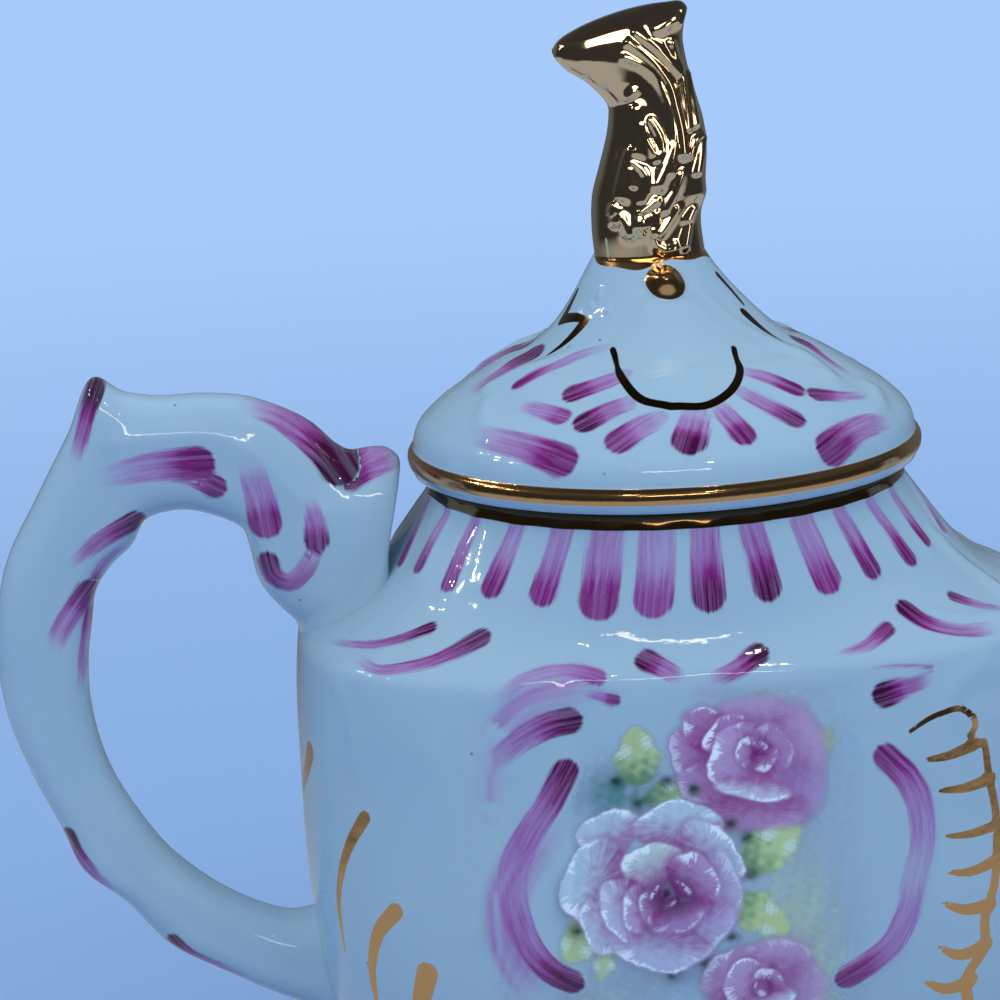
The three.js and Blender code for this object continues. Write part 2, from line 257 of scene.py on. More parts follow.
# Purple tongues that run down from the neck, as turn and height from top to foot, with the width at the foot
# and at the top and how much paint the brush held. The brush is pressed down from the start.
tongue_begin = 0.33
neck_tongues = [
    ([(-84.0, 47.5), (-79.5, 45.8), (-76.5, 44.1)], 1.25, 0.8, 0.81),
    ([(-68.3, 47.9), (-68.5, 46.0), (-67.6, 44.3)], 1.33, 0.86, 0.81),
    ([(-55.6, 48.0), (-56.1, 46.0), (-55.6, 43.9)], 1.57, 1.05, 0.76),
    ([(-42.1, 48.0), (-43.3, 46.2), (-44.6, 44.1)], 1.82, 1.23, 0.76),
    ([(-30.0, 48.0), (-31.3, 46.0), (-32.7, 44.0)], 2.06, 1.42, 0.66),
    ([(-19.1, 47.9), (-20.0, 45.7), (-20.7, 43.6)], 2.82, 2.18, 0.74),
    ([(-7.9, 47.9), (-8.4, 45.7), (-9.2, 43.7)], 2.82, 2.18, 0.63),
    ([(3.0, 47.9), (2.8, 45.7), (2.8, 43.7)], 2.43, 1.67, 0.9),
    ([(13.8, 47.7), (15.0, 45.7), (15.7, 43.9)], 2.19, 1.67, 0.95),
    ([(26.6, 47.6), (28.1, 45.7), (29.4, 43.8)], 2.2, 1.42, 0.71),
    ([(37.9, 47.6), (39.6, 45.7), (40.8, 43.9)], 1.7, 1.11, 0.85),
    ([(49.3, 47.6), (51.1, 45.7), (52.3, 43.9)], 1.52, 0.92, 0.81),
    ([(60.6, 47.7), (60.7, 45.9), (61.2, 44.4)], 1.27, 0.8, 0.81),
    ([(79.6, 47.1), (76.8, 45.6), (74.0, 44.2)], 1.25, 0.8, 0.57),
]
# The other strokes, tail first in the same way: commas and scrolls frame the shoulder and the panel.
pot_strokes = [(*tongue, tongue_begin) for tongue in neck_tongues] + [
    ([(-74.4, 39.5), (-62.1, 40.2), (-54.4, 41.4)], 1.18, 0.66, 0.95),
    ([(-64.3, 39.5), (-56.3, 39.2), (-50.3, 39.7), (-43.1, 41.2)], 1.69, 0.52, 1.0),
    ([(-36.8, 37.8), (-31.1, 39.3), (-24.8, 39.6), (-19.3, 39.2)], 1.28, 0.77, 0.6),
    ([(-21.7, 38.3), (-16.5, 37.8)], 1.15, 0.51, 0.85),
    ([(-37.2, 33.6), (-31.4, 35.6), (-27.2, 36.4), (-24.3, 36.6)], 2.0, 1.2, 0.98),
    ([(-3.4, 38.7), (-7.1, 39.5), (-10.5, 40.0)], 1.79, 0.77, 0.95),
    ([(0.8, 38.6), (6.0, 39.2), (11.4, 40.0)], 1.66, 0.77, 1.05),
    ([(25.1, 39.5), (31.7, 39.8), (37.6, 40.5)], 1.29, 0.32, 0.85),
    ([(40.9, 37.3), (36.8, 37.1), (32.4, 36.8)], 1.94, 0.52, 1.0),
    ([(28.5, 38.5), (34.8, 38.5), (40.5, 38.1)], 0.65, 0.26, 0.55),
    ([(56.5, 39.3), (49.2, 39.7), (45.1, 40.4), (43.3, 41.3)], 1.44, 1.05, 0.9),
    ([(64.1, 39.8), (59.3, 40.4), (55.9, 41.2)], 1.13, 0.8, 0.9),
    ([(-25.0, 33.3), (-27.4, 31.6), (-31.2, 29.2), (-33.8, 27.1), (-34.4, 25.0), (-33.6, 22.9),
      (-31.6, 20.9), (-28.8, 19.6), (-26.0, 19.0)], 1.9, 2.4, 0.9, -1),
    ([(31.7, 32.8), (35.2, 31.1), (37.4, 28.8), (37.6, 26.6), (36.2, 24.4), (34.8, 21.9),
      (32.0, 19.8), (28.6, 18.8), (24.8, 18.0)], 1.9, 2.2, 0.8, -1),
]
# Thin washes of the same purple, brushed on first beside the scrolls.
pot_washes = [
    ([(-36.4, 31.6), (-35.6, 35.9), (-31.4, 37.8), (-24.3, 38.6), (-18.0, 38.9)], 2.4, 2.8, 0.85),
    ([(-27.6, 30.6), (-32.4, 27.4), (-35.5, 24.9), (-35.9, 22.4), (-34.2, 19.8),
      (-30.6, 17.6)], 3.6, 3.2, 0.85),
    ([(-37.6, 29.5), (-36.8, 32.8), (-35.2, 35.8)], 2.4, 2.0, 0.45),
    ([(-36.8, 23.0), (-36.6, 20.0), (-34.6, 16.8)], 2.8, 2.0, 0.5),
    ([(24.0, 17.6), (33.0, 19.4), (35.6, 22.0), (37.6, 25.4), (38.2, 28.2), (36.4, 31.2),
      (32.0, 33.4)], 2.6, 2.2, 0.2),
    ([(-3.0, 37.9), (2.0, 37.6), (8.0, 37.9)], 2.2, 2.2, 0.3),
]
# Gold drops on the handle's side and a gold comb on the spout's side, in the same way.
pot_gold = [
    ([(-84.0, 28.1), (-77.5, 30.2), (-73.5, 32.2)], 1.5, 0.4, 1),
    ([(-66.4, 19.1), (-66.1, 22.8), (-62.5, 26.7), (-58.2, 29.3)], 1.0, 0.2, 1),
    ([(-60.3, 15.6), (-59.6, 18.9), (-57.1, 21.5), (-53.5, 23.2)], 1.2, 0.27, 1),
    ([(-53.6, 11.8), (-52.2, 15.6), (-49.3, 19.1)], 1.6, 0.27, 1),
    ([(35.8, 34.1), (40.0, 34.9), (45.2, 35.0), (47.3, 33.7), (46.1, 33.1)], 0.52, 0.26, 1),
    ([(38.1, 32.1), (42.0, 32.1), (47.2, 32.5)], 0.91, 0.2, 1),
    ([(40.4, 29.9), (44.3, 29.7), (49.9, 29.9)], 0.92, 0.2, 1),
    ([(41.5, 26.7), (45.2, 26.5), (50.5, 26.6)], 0.79, 0.2, 1),
    ([(41.8, 24.2), (45.5, 23.9), (50.6, 24.2)], 0.93, 0.2, 1),
    ([(40.8, 22.2), (44.5, 21.4), (49.8, 21.2)], 1.06, 0.2, 1),
    ([(40.6, 19.1), (44.3, 18.2), (49.5, 18.4)], 1.13, 0.2, 1),
    ([(38.6, 16.8), (42.8, 15.9), (47.2, 16.1)], 1.14, 0.2, 1),
    ([(48.9, 32.5), (49.5, 30.2), (50.7, 27.6), (50.8, 25.0), (50.4, 22.6), (48.8, 20.3),
      (49.2, 18.3), (46.3, 16.4), (47.7, 14.0)], 0.93, 0.53, 1),
]
# The tongues lie on gadroons, raised a little from the neck.
gadroon_height = 0.16
gadroons = [(points, 1.1 * head, head, gadroon_height) for points, head, *_ in neck_tongues]
on_outside = np.repeat(np.arange(len(pot)) < len(shell), body_columns + 1)
raised = ridge_height(pot, pot_facing, both_faces(pot_ridges + gadroons, pot_place))
pot_skin = pot + pot_facing * raised * on_outside.reshape(raised.shape)
paint, bristle = brush_over(pot, pot_facing, both_faces(pot_strokes, pot_place))
paint[~on_outside, 0] = bare
# The gold band at the neck is painted dark beside the drops and the comb: painted shade under the lid's brim.
band_foot, band_lustre = 47.95, 0.3
neck_band = pot.reshape(-1, 3)[:, 2] - band_foot
gilt = np.maximum(brush_over(pot, pot_facing, both_faces(pot_gold, pot_place))[0][:, 0], neck_band)
wash_paint, wash_bristle = brush_over(pot, pot_facing, both_faces(pot_washes, pot_place))
wash_edge, wash_run, wash_strength = wash_paint.T
across, along, seed = wash_bristle.T
streaks = 0.75 + 0.25 * np.sin(across * 5.1 + seed) + 0.2 * np.sin(across * 8.7 + 0.4 * along)
ends = np.clip(np.minimum(wash_run, 1 - wash_run) / 0.2, 0, 1)
wash = wash_strength * ends * np.clip(wash_edge / 0.9, 0, 1) * streaks * on_outside
pot_body, order = cast_skin("pot_body_glazed", pot_skin)
# The band's gold is painted dark, as painted shade under the lid.
pot_lustre = np.where(neck_band > -0.4, band_lustre, 1.0)
keep_layers(pot_body, order, paint=paint, bristle=bristle, gilt=gilt, lustre=pot_lustre, wash=wash)
close_skin()
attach(pot_body, "pot")
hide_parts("pot_body")


def linear(colour):
    """A colour written as sRGB hex, as the linear values that Blender mixes."""
    parts = [int(colour[i : i + 2], 16) / 255 for i in (1, 3, 5)]
    return [c / 12.92 if c <= 0.04045 else ((c + 0.055) / 1.055) ** 2.4 for c in parts] + [1.0]


def set_inputs(node, inputs):
    """Sets a node's inputs, by name or in order: to a number, to a colour in hex or to a link from a node."""
    for name, value in inputs.items() if isinstance(inputs, dict) else enumerate(inputs):
        if isinstance(value, bpy.types.NodeSocket):
            node.id_data.links.new(value, node.inputs[name])
        else:
            node.inputs[name].default_value = linear(value) if isinstance(value, str) else value


def add_node(material, kind, inputs=(), **settings):
    """Adds a node with its settings and inputs, and gives its outputs."""
    made = material.node_tree.nodes.new(kind)
    for name, value in settings.items():
        setattr(made, name, value)
    set_inputs(made, inputs)
    return made.outputs


def new_finish(name):
    """A new material and its shader."""
    finish = bpy.data.materials.new(name)
    finish.use_nodes = True
    return finish, finish.node_tree.nodes["Principled BSDF"]


def glaze_blue(material, shader):
    """Gives a material a clear blue-tinted glaze in clouds 11 mm wide, with a ripple about 2 mm long."""
    spot = add_node(material, "ShaderNodeTexCoord")["Object"]
    cloud = add_node(material, "ShaderNodeTexNoise", {"Vector": spot, "Scale": 90.0, "Detail": 2.0})["Fac"]
    tint = {0: cloud, "A": "#94b5cb", "B": "#9ebdcf"}
    tint = add_node(material, "ShaderNodeMix", tint, data_type="RGBA")["Result"]
    ripple = add_node(material, "ShaderNodeTexNoise", {"Vector": spot, "Scale": 450.0, "Detail": 3.0})["Fac"]
    ripple = {"Strength": 0.18, "Distance": 0.3 * mm, "Height": ripple}
    ripple = add_node(material, "ShaderNodeBump", ripple)["Normal"]
    set_inputs(shader, {"Base Color": tint, "IOR": 1.52, "Roughness": glaze_roughness, "Normal": ripple})
    return spot, tint


# Glazed porcelain, painted and gilded: a clear blue-tinted glaze with a faint ripple and a few kiln specks,
# purple enamel that shows each bristle of the brush and thins towards its tail, and burnished bright gold.
glaze_roughness, gilt_roughness = 0.06, 0.14
painted, painted_shader = new_finish("painted_gilded_porcelain")
spot, colour = glaze_blue(painted, painted_shader)
stroke = add_node(painted, "ShaderNodeAttribute", attribute_name="paint")["Vector"]
stroke = add_node(painted, "ShaderNodeSeparateXYZ", [stroke])
stroke_edge, stroke_run, stroke_strength = (stroke[axis] for axis in "XYZ")
# Bristle marks are about 0.25 mm apart across the stroke and some millimetres long.
marks = add_node(painted, "ShaderNodeAttribute", attribute_name="bristle")["Vector"]
marks = add_node(painted, "ShaderNodeVectorMath", [marks, (3.6, 0.22, 5.3)], operation="MULTIPLY")[0]
streak = {"Vector": marks, "Scale": 1.0, "Detail": 4.0, "Roughness": 0.65}
streak = add_node(painted, "ShaderNodeTexNoise", streak)["Fac"]
# A range takes a value, the limits that it lies between and what these become, 0 and 1 if they aren't given.
smooth = {"interpolation_type": "SMOOTHSTEP"}
streak = add_node(painted, "ShaderNodeMapRange", [streak, 0.25, 0.75, -0.5, 0.5])["Result"]
tearing = add_node(painted, "ShaderNodeMapRange", [stroke_run, 0.0, 1.0, 0.42, 0.22])["Result"]
ragged = add_node(painted, "ShaderNodeMath", [streak, tearing, stroke_edge], operation="MULTIPLY_ADD")[0]
softness = add_node(painted, "ShaderNodeMapRange", [stroke_strength, 0.2, 0.6, 1.0, 0.24])["Result"]
cover = add_node(painted, "ShaderNodeMapRange", [ragged, -0.05, softness], **smooth)["Result"]
# The paint pools at the head, where the brush is lifted.
pool = add_node(painted, "ShaderNodeMapRange", [stroke_run, 0.55, 1.0, 0.0, 0.38], **smooth)["Result"]
load = add_node(painted, "ShaderNodeMath", [stroke_run, 0.2, pool], operation="MULTIPLY_ADD")[0]
load = add_node(painted, "ShaderNodeMath", [load, 0.36], operation="ADD")[0]
load = add_node(painted, "ShaderNodeMath", [load, stroke_strength], operation="MULTIPLY")[0]
clamped = {"operation": "MULTIPLY_ADD", "use_clamp": True}
dark = add_node(painted, "ShaderNodeMath", [streak, 0.5, load], **clamped)[0]
purple = add_node(painted, "ShaderNodeValToRGB", [dark])["Color"]
ramp = purple.node.color_ramp.elements
ramp[0].color, ramp[1].color = linear("#a884c4"), linear("#3f0a36")
ramp.new(0.35).color = linear("#9a58a8")
ramp.new(0.68).color = linear("#7e2c7a")
thick = add_node(painted, "ShaderNodeMapRange", [load, 0.0, 0.6, 0.3, 0.95])["Result"]
thick = add_node(painted, "ShaderNodeMath", [streak, 0.38, thick], **clamped)[0]
tail_end = add_node(painted, "ShaderNodeMapRange", [stroke_run, -0.05, 0.4], **smooth)["Result"]
depth = add_node(painted, "ShaderNodeMath", [thick, cover], operation="MULTIPLY")[0]
depth = add_node(painted, "ShaderNodeMath", [depth, tail_end], operation="MULTIPLY")[0]
# Kiln specks: one or two to the square centimetre, about 0.15 mm wide.
speck = add_node(painted, "ShaderNodeTexVoronoi", {"Vector": spot, "Scale": 210.0})["Distance"]
speck = add_node(painted, "ShaderNodeMapRange", [speck, 0.012, 0.03, 0.7, 0.0], **smooth)["Result"]
washed = add_node(painted, "ShaderNodeAttribute", attribute_name="wash")["Fac"]
golden = add_node(painted, "ShaderNodeAttribute", attribute_name="gilt")["Fac"]
golden = add_node(painted, "ShaderNodeMapRange", [golden, -0.03, 0.05], **smooth)["Result"]
# Where this layer is low the gold turns dark brown: painted shade on the neck band and a painted dark
# reflection on the lid's lines.
lustre = add_node(painted, "ShaderNodeAttribute", attribute_name="lustre")["Fac"]
gold_and_painted_shade = {0: lustre, "A": "#3c2c1c", "B": "#dcae78"}
gold_and_painted_shade = add_node(painted, "ShaderNodeMix", gold_and_painted_shade, data_type="RGBA")["Result"]
# Specks, washes, strokes and gold lie one over the other on the glaze.
for share, tone in ((speck, "#3c4a5c"), (washed, "#9a6cb0"), (depth, purple), (golden, gold_and_painted_shade)):
    colour = {0: share, "A": colour, "B": tone}
    colour = add_node(painted, "ShaderNodeMix", colour, data_type="RGBA")["Result"]
gloss = add_node(painted, "ShaderNodeMapRange", [golden, 0.0, 1.0, glaze_roughness, gilt_roughness])["Result"]
set_inputs(painted_shader, {"Base Color": colour, "Metallic": golden, "Roughness": gloss})
pot_body.data.materials.append(painted)

# Rose spray: a transfer print in overglaze colours, slid on to each broad face and fired into the glaze. It
# is a film with no thickness to the touch, built up from fine dots.
spray_foot, spray_top, spray_turn, film_lift = 10.5, 38.8, math.radians(33), 0.03
spray_rows = np.flatnonzero((shell[:, 4] > spray_foot) & (shell[:, 4] < spray_top)) + 1
spray_columns = np.flatnonzero(np.abs(turns) < spray_turn)
film_rows, film_columns = 300, 240
row_at = np.linspace(spray_rows[0], spray_rows[-1], film_rows)
column_at = np.linspace(spray_columns[0], spray_columns[-1], film_columns)


def between(grid):
    """The pot's points at fractions of its rows and columns."""
    row, column = np.floor(row_at).astype(int)[:, None], np.floor(column_at).astype(int)
    down, over = (row_at[:, None] - row)[..., None], (column_at - column)[..., None]
    near = grid[row, column] * (1 - over) + grid[row, column + 1] * over
    far = grid[row + 1, column] * (1 - over) + grid[row + 1, column + 1] * over
    return near * (1 - down) + far * down


spray_skin = between(pot_skin) + film_lift * between(pot_facing)
spray_x, spray_z = spray_skin[..., 0], spray_skin[..., 2]
spray_colour = np.zeros(spray_x.shape + (3,)) + linear("#a9c2de")[:3]
spray_cover = np.zeros(spray_x.shape)
chance = np.random.default_rng(7)
grain = sum(
    np.sin(spray_x * a + spray_z * b + c)
    for a, b, c in zip(chance.uniform(-9, 9, 12), chance.uniform(-9, 9, 12), chance.uniform(0, 6, 12))
) / 5


def step_up(value, low, high):
    """A smooth step from 0 to 1."""
    share = np.clip((value - low) / (high - low), 0, 1)
    return share**2 * (3 - 2 * share)


def lay(mask, colour, opacity=1.0):
    """Lays a colour over the print where the mask is."""
    mask = np.clip(mask, 0, 1) * opacity
    tint = np.array(linear(colour)[:3]) if isinstance(colour, str) else colour
    spray_colour[:] = spray_colour * (1 - mask[..., None]) + tint * mask[..., None]
    spray_cover[:] = spray_cover + (1 - spray_cover) * mask


def haze(x, z, width, height, colour, opacity):
    """A soft cloud of colour."""
    cloud = np.exp(-(((spray_x - x) / width) ** 2) - ((spray_z - z) / height) ** 2)
    lay(cloud * (1 + 0.25 * grain), colour, opacity)


def lying(x, z, angle):
    """How far the print's points lie from a place, along an angle and to the side of it."""
    a, across, up = math.radians(angle), spray_x - x, spray_z - z
    return across * math.cos(a) + up * math.sin(a), up * math.cos(a) - across * math.sin(a)


def toned(root, tip, shade):
    """Colours between those of the root and the tip."""
    shade = shade[..., None]
    return np.array(linear(root)[:3]) * (1 - shade) + np.array(linear(tip)[:3]) * shade


def petal(x, z, angle, length, width, root, tip, rim=0.9, blur=0.09):
    """One petal, toned from its root to its tip, with a white rim dabbed on with a dry brush."""
    out, side = lying(x, z, angle)
    around = np.arctan2(side / width, out / length)
    wave = 0.06 * np.sin(3 * around + x * 3 + z) + 0.04 * np.sin(5 * around + z * 2 - x) + 0.03 * grain
    depth = (1 - np.hypot(out / length, side / width) - wave) * min(length, width)
    inside = step_up(depth, -blur, blur)
    lay(step_up(depth, -0.45, 0.1) * (1 - inside), root, 0.35)
    veins = 0.10 * np.sin(around * 19 + x * 4) + 0.08 * np.sin(around * 31 + z * 3)
    lay(inside, toned(root, tip, step_up(out / length + 0.18 * grain + veins, -0.9, 0.75)), 0.9)
    hairs = np.sin(around * 27 + x * 5) + np.sin(around * 43 + z * 7) + np.sin(around * 9 + x)
    worn = np.sin(around * 2.3 + x * 2 + z) + 0.4 * np.sin(around * 7 + z * 5) + 0.2 * hairs
    broad = 0.16 + 0.3 * step_up(np.sin(around * 1.7 + z * 3 + x), -0.7, 0.9)
    beyond = step_up(depth, broad * (0.8 + 0.25 * hairs), broad * (1.2 + 0.3 * hairs))
    band = step_up(depth, 0.0, 0.1) * (1 - beyond) * step_up(worn, -0.9, 0.1)
    lay(band * step_up(out / length, 0.0, 0.45), "#d2e4ee", rim)


def rose(x, z, size, petals):
    """A rose: petals laid one over the other, each given from the heart, as angles, sizes and colours."""
    for across, up, angle, length, width, *rest in petals:
        petal(x + across * size, z + up * size, angle, length * size, width * size, *rest)


def leaf(x, z, angle, length, width, root, tip):
    """A pointed leaf, darker at its stalk, with a dry white dab on each side of its rib."""
    out, side = lying(x, z, angle)
    out = out / length
    half = width * np.clip(1 - out**2, 0, 1) ** 0.9 * (1 - 0.25 * out + 0.08 * np.sin(out * 9 + x))
    body = step_up(1 - np.abs(out), 0.0, 0.15)
    green = toned(root, tip, step_up(out + 0.3 * grain, -0.9, 0.3))
    lay(body * step_up(half - np.abs(side) + 0.06 * grain, -0.3, 0.35), green, 0.85)
    hairs = np.sin(out * length * 17 + side * 9) + np.sin(out * length * 29 - side * 13)
    dab = step_up(0.34 * half - np.abs(np.abs(side) - 0.58 * half), -0.12, 0.2)
    dry = step_up(np.sin(out * 4.2 + 0.4 + np.sign(side) * 0.5) + 0.2 * hairs, 0.5, 1.1)
    lay(body * dab * dry, "#bcd6d8", 0.75)


# Soft clouds of colour lie behind the flowers, as x, z, width, height, colour and strength.
for cloud in (
    (3.2, 31.6, 5.6, 5.0, "#93809f", 0.4),
    (5.6, 23.0, 3.2, 5.0, "#a9c6a2", 0.7),
    (-6.0, 31.6, 2.4, 1.9, "#4f8086", 1.0),
    (-2.4, 19.6, 4.6, 1.6, "#6f8fa8", 0.85),
    (4.4, 37.6, 3.0, 0.9, "#9dbdb4", 0.6),
    (7.5, 34.3, 1.0, 0.9, "#a3bd66", 0.9),
    (-8.6, 24.4, 1.6, 1.6, "#5f8f98", 0.8),
    (-7.4, 17.2, 3.4, 2.2, "#a4beb0", 0.6),
    (6.8, 17.4, 2.6, 3.6, "#a8c4a2", 0.6),
    (3.4, 29.6, 2.4, 1.2, "#5f8f8c", 0.7),
    (5.0, 20.8, 1.6, 1.0, "#96799f", 0.5),
):
    haze(*cloud)
# Leaves and two roses behind, and the dark gaps between them.
leaf(-4.4, 34.1, 91, 2.2, 1.5, "#4c7d50", "#a9c47e")
leaf(-2.6, 31.4, 8, 1.7, 0.95, "#3f7350", "#86a866")
leaf(3.9, 27.4, 33, 2.7, 1.5, "#4f8248", "#abc684")
leaf(3.1, 22.9, -36, 2.5, 1.35, "#558a3c", "#abc680")
leaf(-8.5, 21.8, 230, 2.2, 1.35, "#528544", "#a8c280")
leaf(-7.0, 20.4, 252, 1.7, 0.8, "#4f8a6a", "#a4c290")
leaf(0.2, 18.5, 208, 1.4, 0.8, "#55803f", "#9fb868")
rose(2.8, 33.2, 1.0, [
    (0.2, -0.2, 0, 4.4, 3.9, "#8d5f94", "#9f86b2", 0.0, 0.7),
    (3.0, 1.4, 25, 1.8, 2.4, "#8f6a98", "#a08cb6", 0.0, 0.5),
    (2.9, -2.3, 320, 1.8, 2.1, "#86609a", "#9a86b4", 0.0, 0.5),
    (0.3, 3.0, 92, 1.4, 2.3, "#8a568f", "#a08ab5", 0.0, 0.35),
    (-3.7, 1.0, 172, 1.5, 1.8, "#7d3b7b", "#9c7cac", 0.45),
    (-2.9, 2.5, 122, 1.4, 1.4, "#7a3074", "#9a74a8", 0.8),
    (-3.1, -1.1, 196, 1.6, 1.4, "#843f80", "#9f88b4", 0.35),
    (0.3, -3.2, 266, 1.4, 3.2, "#7a2a70", "#9a78a8", 0.1, 0.35),
    (-1.4, 1.8, 128, 1.3, 1.6, "#7f3578", "#9c7cae", 0.9),
    (-0.5, 0.3, 170, 2.2, 2.3, "#8a4684", "#a796bf", 0.95),
    (0.2, -1.75, 258, 0.8, 2.5, "#8f5c94", "#b4c0d4", 0.95),
    (1.2, 0.7, 35, 1.6, 1.7, "#82417e", "#9a7fb0", 0.3, 0.3),
    (0.2, 0.6, 160, 1.1, 1.2, "#7a3274", "#9d80b0", 0.85),
    (0.9, 0.2, 310, 0.8, 1.0, "#762c70", "#96719f", 0.7),
    (0.6, 0.9, 60, 0.5, 0.6, "#6c2468", "#8a5c96", 0.6),
])
rose(3.1, 17.6, 0.9, [
    (0.3, -0.4, 20, 4.2, 3.6, "#8f6496", "#a08cb6", 0.0, 0.7),
    (-2.3, 1.4, 140, 1.8, 2.3, "#823c7c", "#9f84b2", 0.5),
    (1.2, 2.4, 78, 1.6, 2.4, "#884a86", "#a28cb8", 0.3, 0.3),
    (2.9, -0.4, 345, 1.7, 2.3, "#8a5c92", "#a08cb6", 0.2, 0.4),
    (0.2, -2.6, 268, 1.6, 3.0, "#80357a", "#9c80b0", 0.4),
    (-0.9, 0.5, 150, 1.9, 2.1, "#853f80", "#a896bf", 0.9),
    (0.6, -0.9, 290, 1.1, 1.9, "#8c5a92", "#b2bfd4", 0.9),
    (0.4, 0.6, 80, 1.1, 1.2, "#7d3378", "#9a7cae", 0.7),
    (0.1, 0.2, 215, 0.7, 0.7, "#6c2468", "#8c6098", 0.6),
])
for across, up in (
    (-5.8, 32.5), (-2.6, 32.3), (-4.4, 30.9), (-0.9, 31.6), (1.4, 29.2), (2.4, 28.2),
    (2.6, 25.7), (-8.8, 22.5), (1.3, 21.5), (-0.6, 19.9), (-2.6, 19.1),
):
    haze(across, up, 0.5, 0.45, "#143a34", 0.95)
# The open rose in front, with its dark heart.
rose(-2.9, 24.4, 1.0, [
    (-3.6, 4.5, 122, 1.6, 2.2, "#93659a", "#a9c2d4", 0.95),
    (1.0, 4.8, 86, 1.7, 2.9, "#8a4486", "#aac6d6", 1.0),
    (2.9, 2.9, 42, 1.7, 2.5, "#823a7c", "#a8bcd4", 1.0),
    (-4.6, 1.3, 166, 2.1, 3.0, "#873f82", "#aac8d8", 1.0),
    (3.3, 0.4, 6, 1.6, 2.5, "#86588f", "#a09fc4", 0.4, 0.25),
    (2.1, -2.3, 312, 1.7, 2.5, "#86508e", "#a29fc6", 0.45, 0.2),
    (-3.9, -1.6, 206, 1.7, 2.1, "#873f82", "#a8b6d0", 0.95),
    (-0.7, -3.1, 256, 1.8, 3.3, "#86528f", "#a6b0ce", 0.9),
    (-0.9, 2.3, 112, 1.5, 2.0, "#8f5c92", "#b0c8c8", 0.9),
    (-2.8, -0.5, 190, 1.5, 2.2, "#843680", "#aab6d2", 1.0),
    (1.8, 1.3, 42, 1.4, 2.1, "#7a2a74", "#a08ab8", 0.95),
    (-1.8, -0.7, 188, 1.1, 1.7, "#7c2b75", "#a899c2", 1.0),
    (-1.0, -0.5, 186, 0.8, 1.3, "#75236e", "#9f82b0", 0.95),
    (0.7, -1.3, 288, 1.0, 1.9, "#7a2b74", "#9a7cae", 0.4, 0.2),
])
haze(-2.6, 24.5, 1.45, 1.15, "#42083f", 1.0)
rose(-2.8, 24.5, 1.0, [
    (0.9, 0.5, 40, 0.4, 0.8, "#5a1a5e", "#7d3f86", 0.6),
    (-0.75, 0.35, 150, 0.35, 0.6, "#5a1a5e", "#7d3f86", 0.8),
    (0.1, -0.35, 300, 0.3, 0.5, "#54165a", "#74367e", 0.4),
])
# The print fades out at its edges and keeps clear of the brush strokes.
fade = step_up(spray_z, 11.3, 14.5) * step_up(-spray_z, -38.6, -37.4) * step_up(-np.abs(spray_x), -11.2, -9.4)
front_strokes = [(pot_place(points), *sizes) for points, *sizes in pot_strokes]
brushed, _ = brush_over(spray_skin, between(pot_facing), front_strokes)
spray_cover *= fade * step_up(-brushed[:, 0].reshape(fade.shape), -0.1, 0.35)

# Transfer print: pale colours that share the gloss of the glaze, in a screen with a dot every 0.19 mm.
screen_angle, dot_pitch, film_roughness = math.radians(13), 0.19 * mm, 0.09
print_film, film_shader = new_finish("overglaze_transfer_print")
spot = add_node(print_film, "ShaderNodeTexCoord")["Object"]
spot = add_node(print_film, "ShaderNodeMapping", {"Vector": spot, "Rotation": (0, screen_angle, 0)})[0]
dots = {"Vector": spot, "Scale": 1 / dot_pitch, "Randomness": 0.0}
dots = add_node(print_film, "ShaderNodeTexVoronoi", dots)["Distance"]
dots = add_node(print_film, "ShaderNodeMapRange", [dots, 0.1, 0.6, 1.02, 1.2])["Result"]
inked = add_node(print_film, "ShaderNodeAttribute", attribute_name="ink")["Color"]
inked = add_node(print_film, "ShaderNodeVectorMath", {0: inked, "Scale": dots}, operation="SCALE")[0]
film_cover = add_node(print_film, "ShaderNodeAttribute", attribute_name="film")["Fac"]
set_inputs(film_shader, {"Base Color": inked, "Alpha": film_cover, "Roughness": film_roughness})
for name, mirrored in (("rose_spray_front", 1), ("rose_spray_back", -1)):
    spray, order = cast_skin(name, spray_skin[:, ::mirrored] * [1, mirrored, 1])
    ink, film = spray_colour[:, ::mirrored].reshape(-1, 3), spray_cover[:, ::mirrored].ravel()
    keep_layers(spray, order, ink=ink, film=film)
    bpy.ops.object.shade_smooth()
    spray.data.materials.append(print_film)
    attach(spray, "pot")

# Foot ring: a low porcelain ring, flared where it stands, that lifts the pot's floor from the table. It is
# luted under the floor before glazing and stays unpainted.
foot_outline = [
    (15.8, 3.95), (17.9, 3.95), (18.0, 2.7), (18.3, 1.6), (19.1, 0.8),
    (19.25, 0.4), (18.9, 0.1), (17.5, 0.05), (15.9, 0.1), (15.6, 0.6),
]
length_past_depth = 6.0
# Clear glaze: the same glassy pale blue as on the pot, without paint or gold.
plain_glaze, plain_shader = new_finish("clear_glazed_porcelain")
glaze_blue(plain_glaze, plain_shader)
foot_rows = [(r, r - length_past_depth, 1, 1, z) for r, z in foot_outline[:1] + foot_outline[::-1]]
foot_ring, order = cast_skin("foot_ring_glazed", plan_rings(np.array(foot_rows), turns[::2]))
bpy.ops.object.modifier_add(type="SUBSURF")
foot_ring.modifiers[0].levels = foot_ring.modifiers[0].render_levels = 1
close_skin()
bpy.ops.object.modifier_apply(modifier=foot_ring.modifiers[0].name)
foot_ring.data.materials.append(plain_glaze)
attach(foot_ring, "pot")
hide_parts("foot_ring")

# Spout: a hollow porcelain S-curve cast in its own mould and glazed with the pot. It is luted over the
# strainer in the pot's wall, where the slip swells round its root.


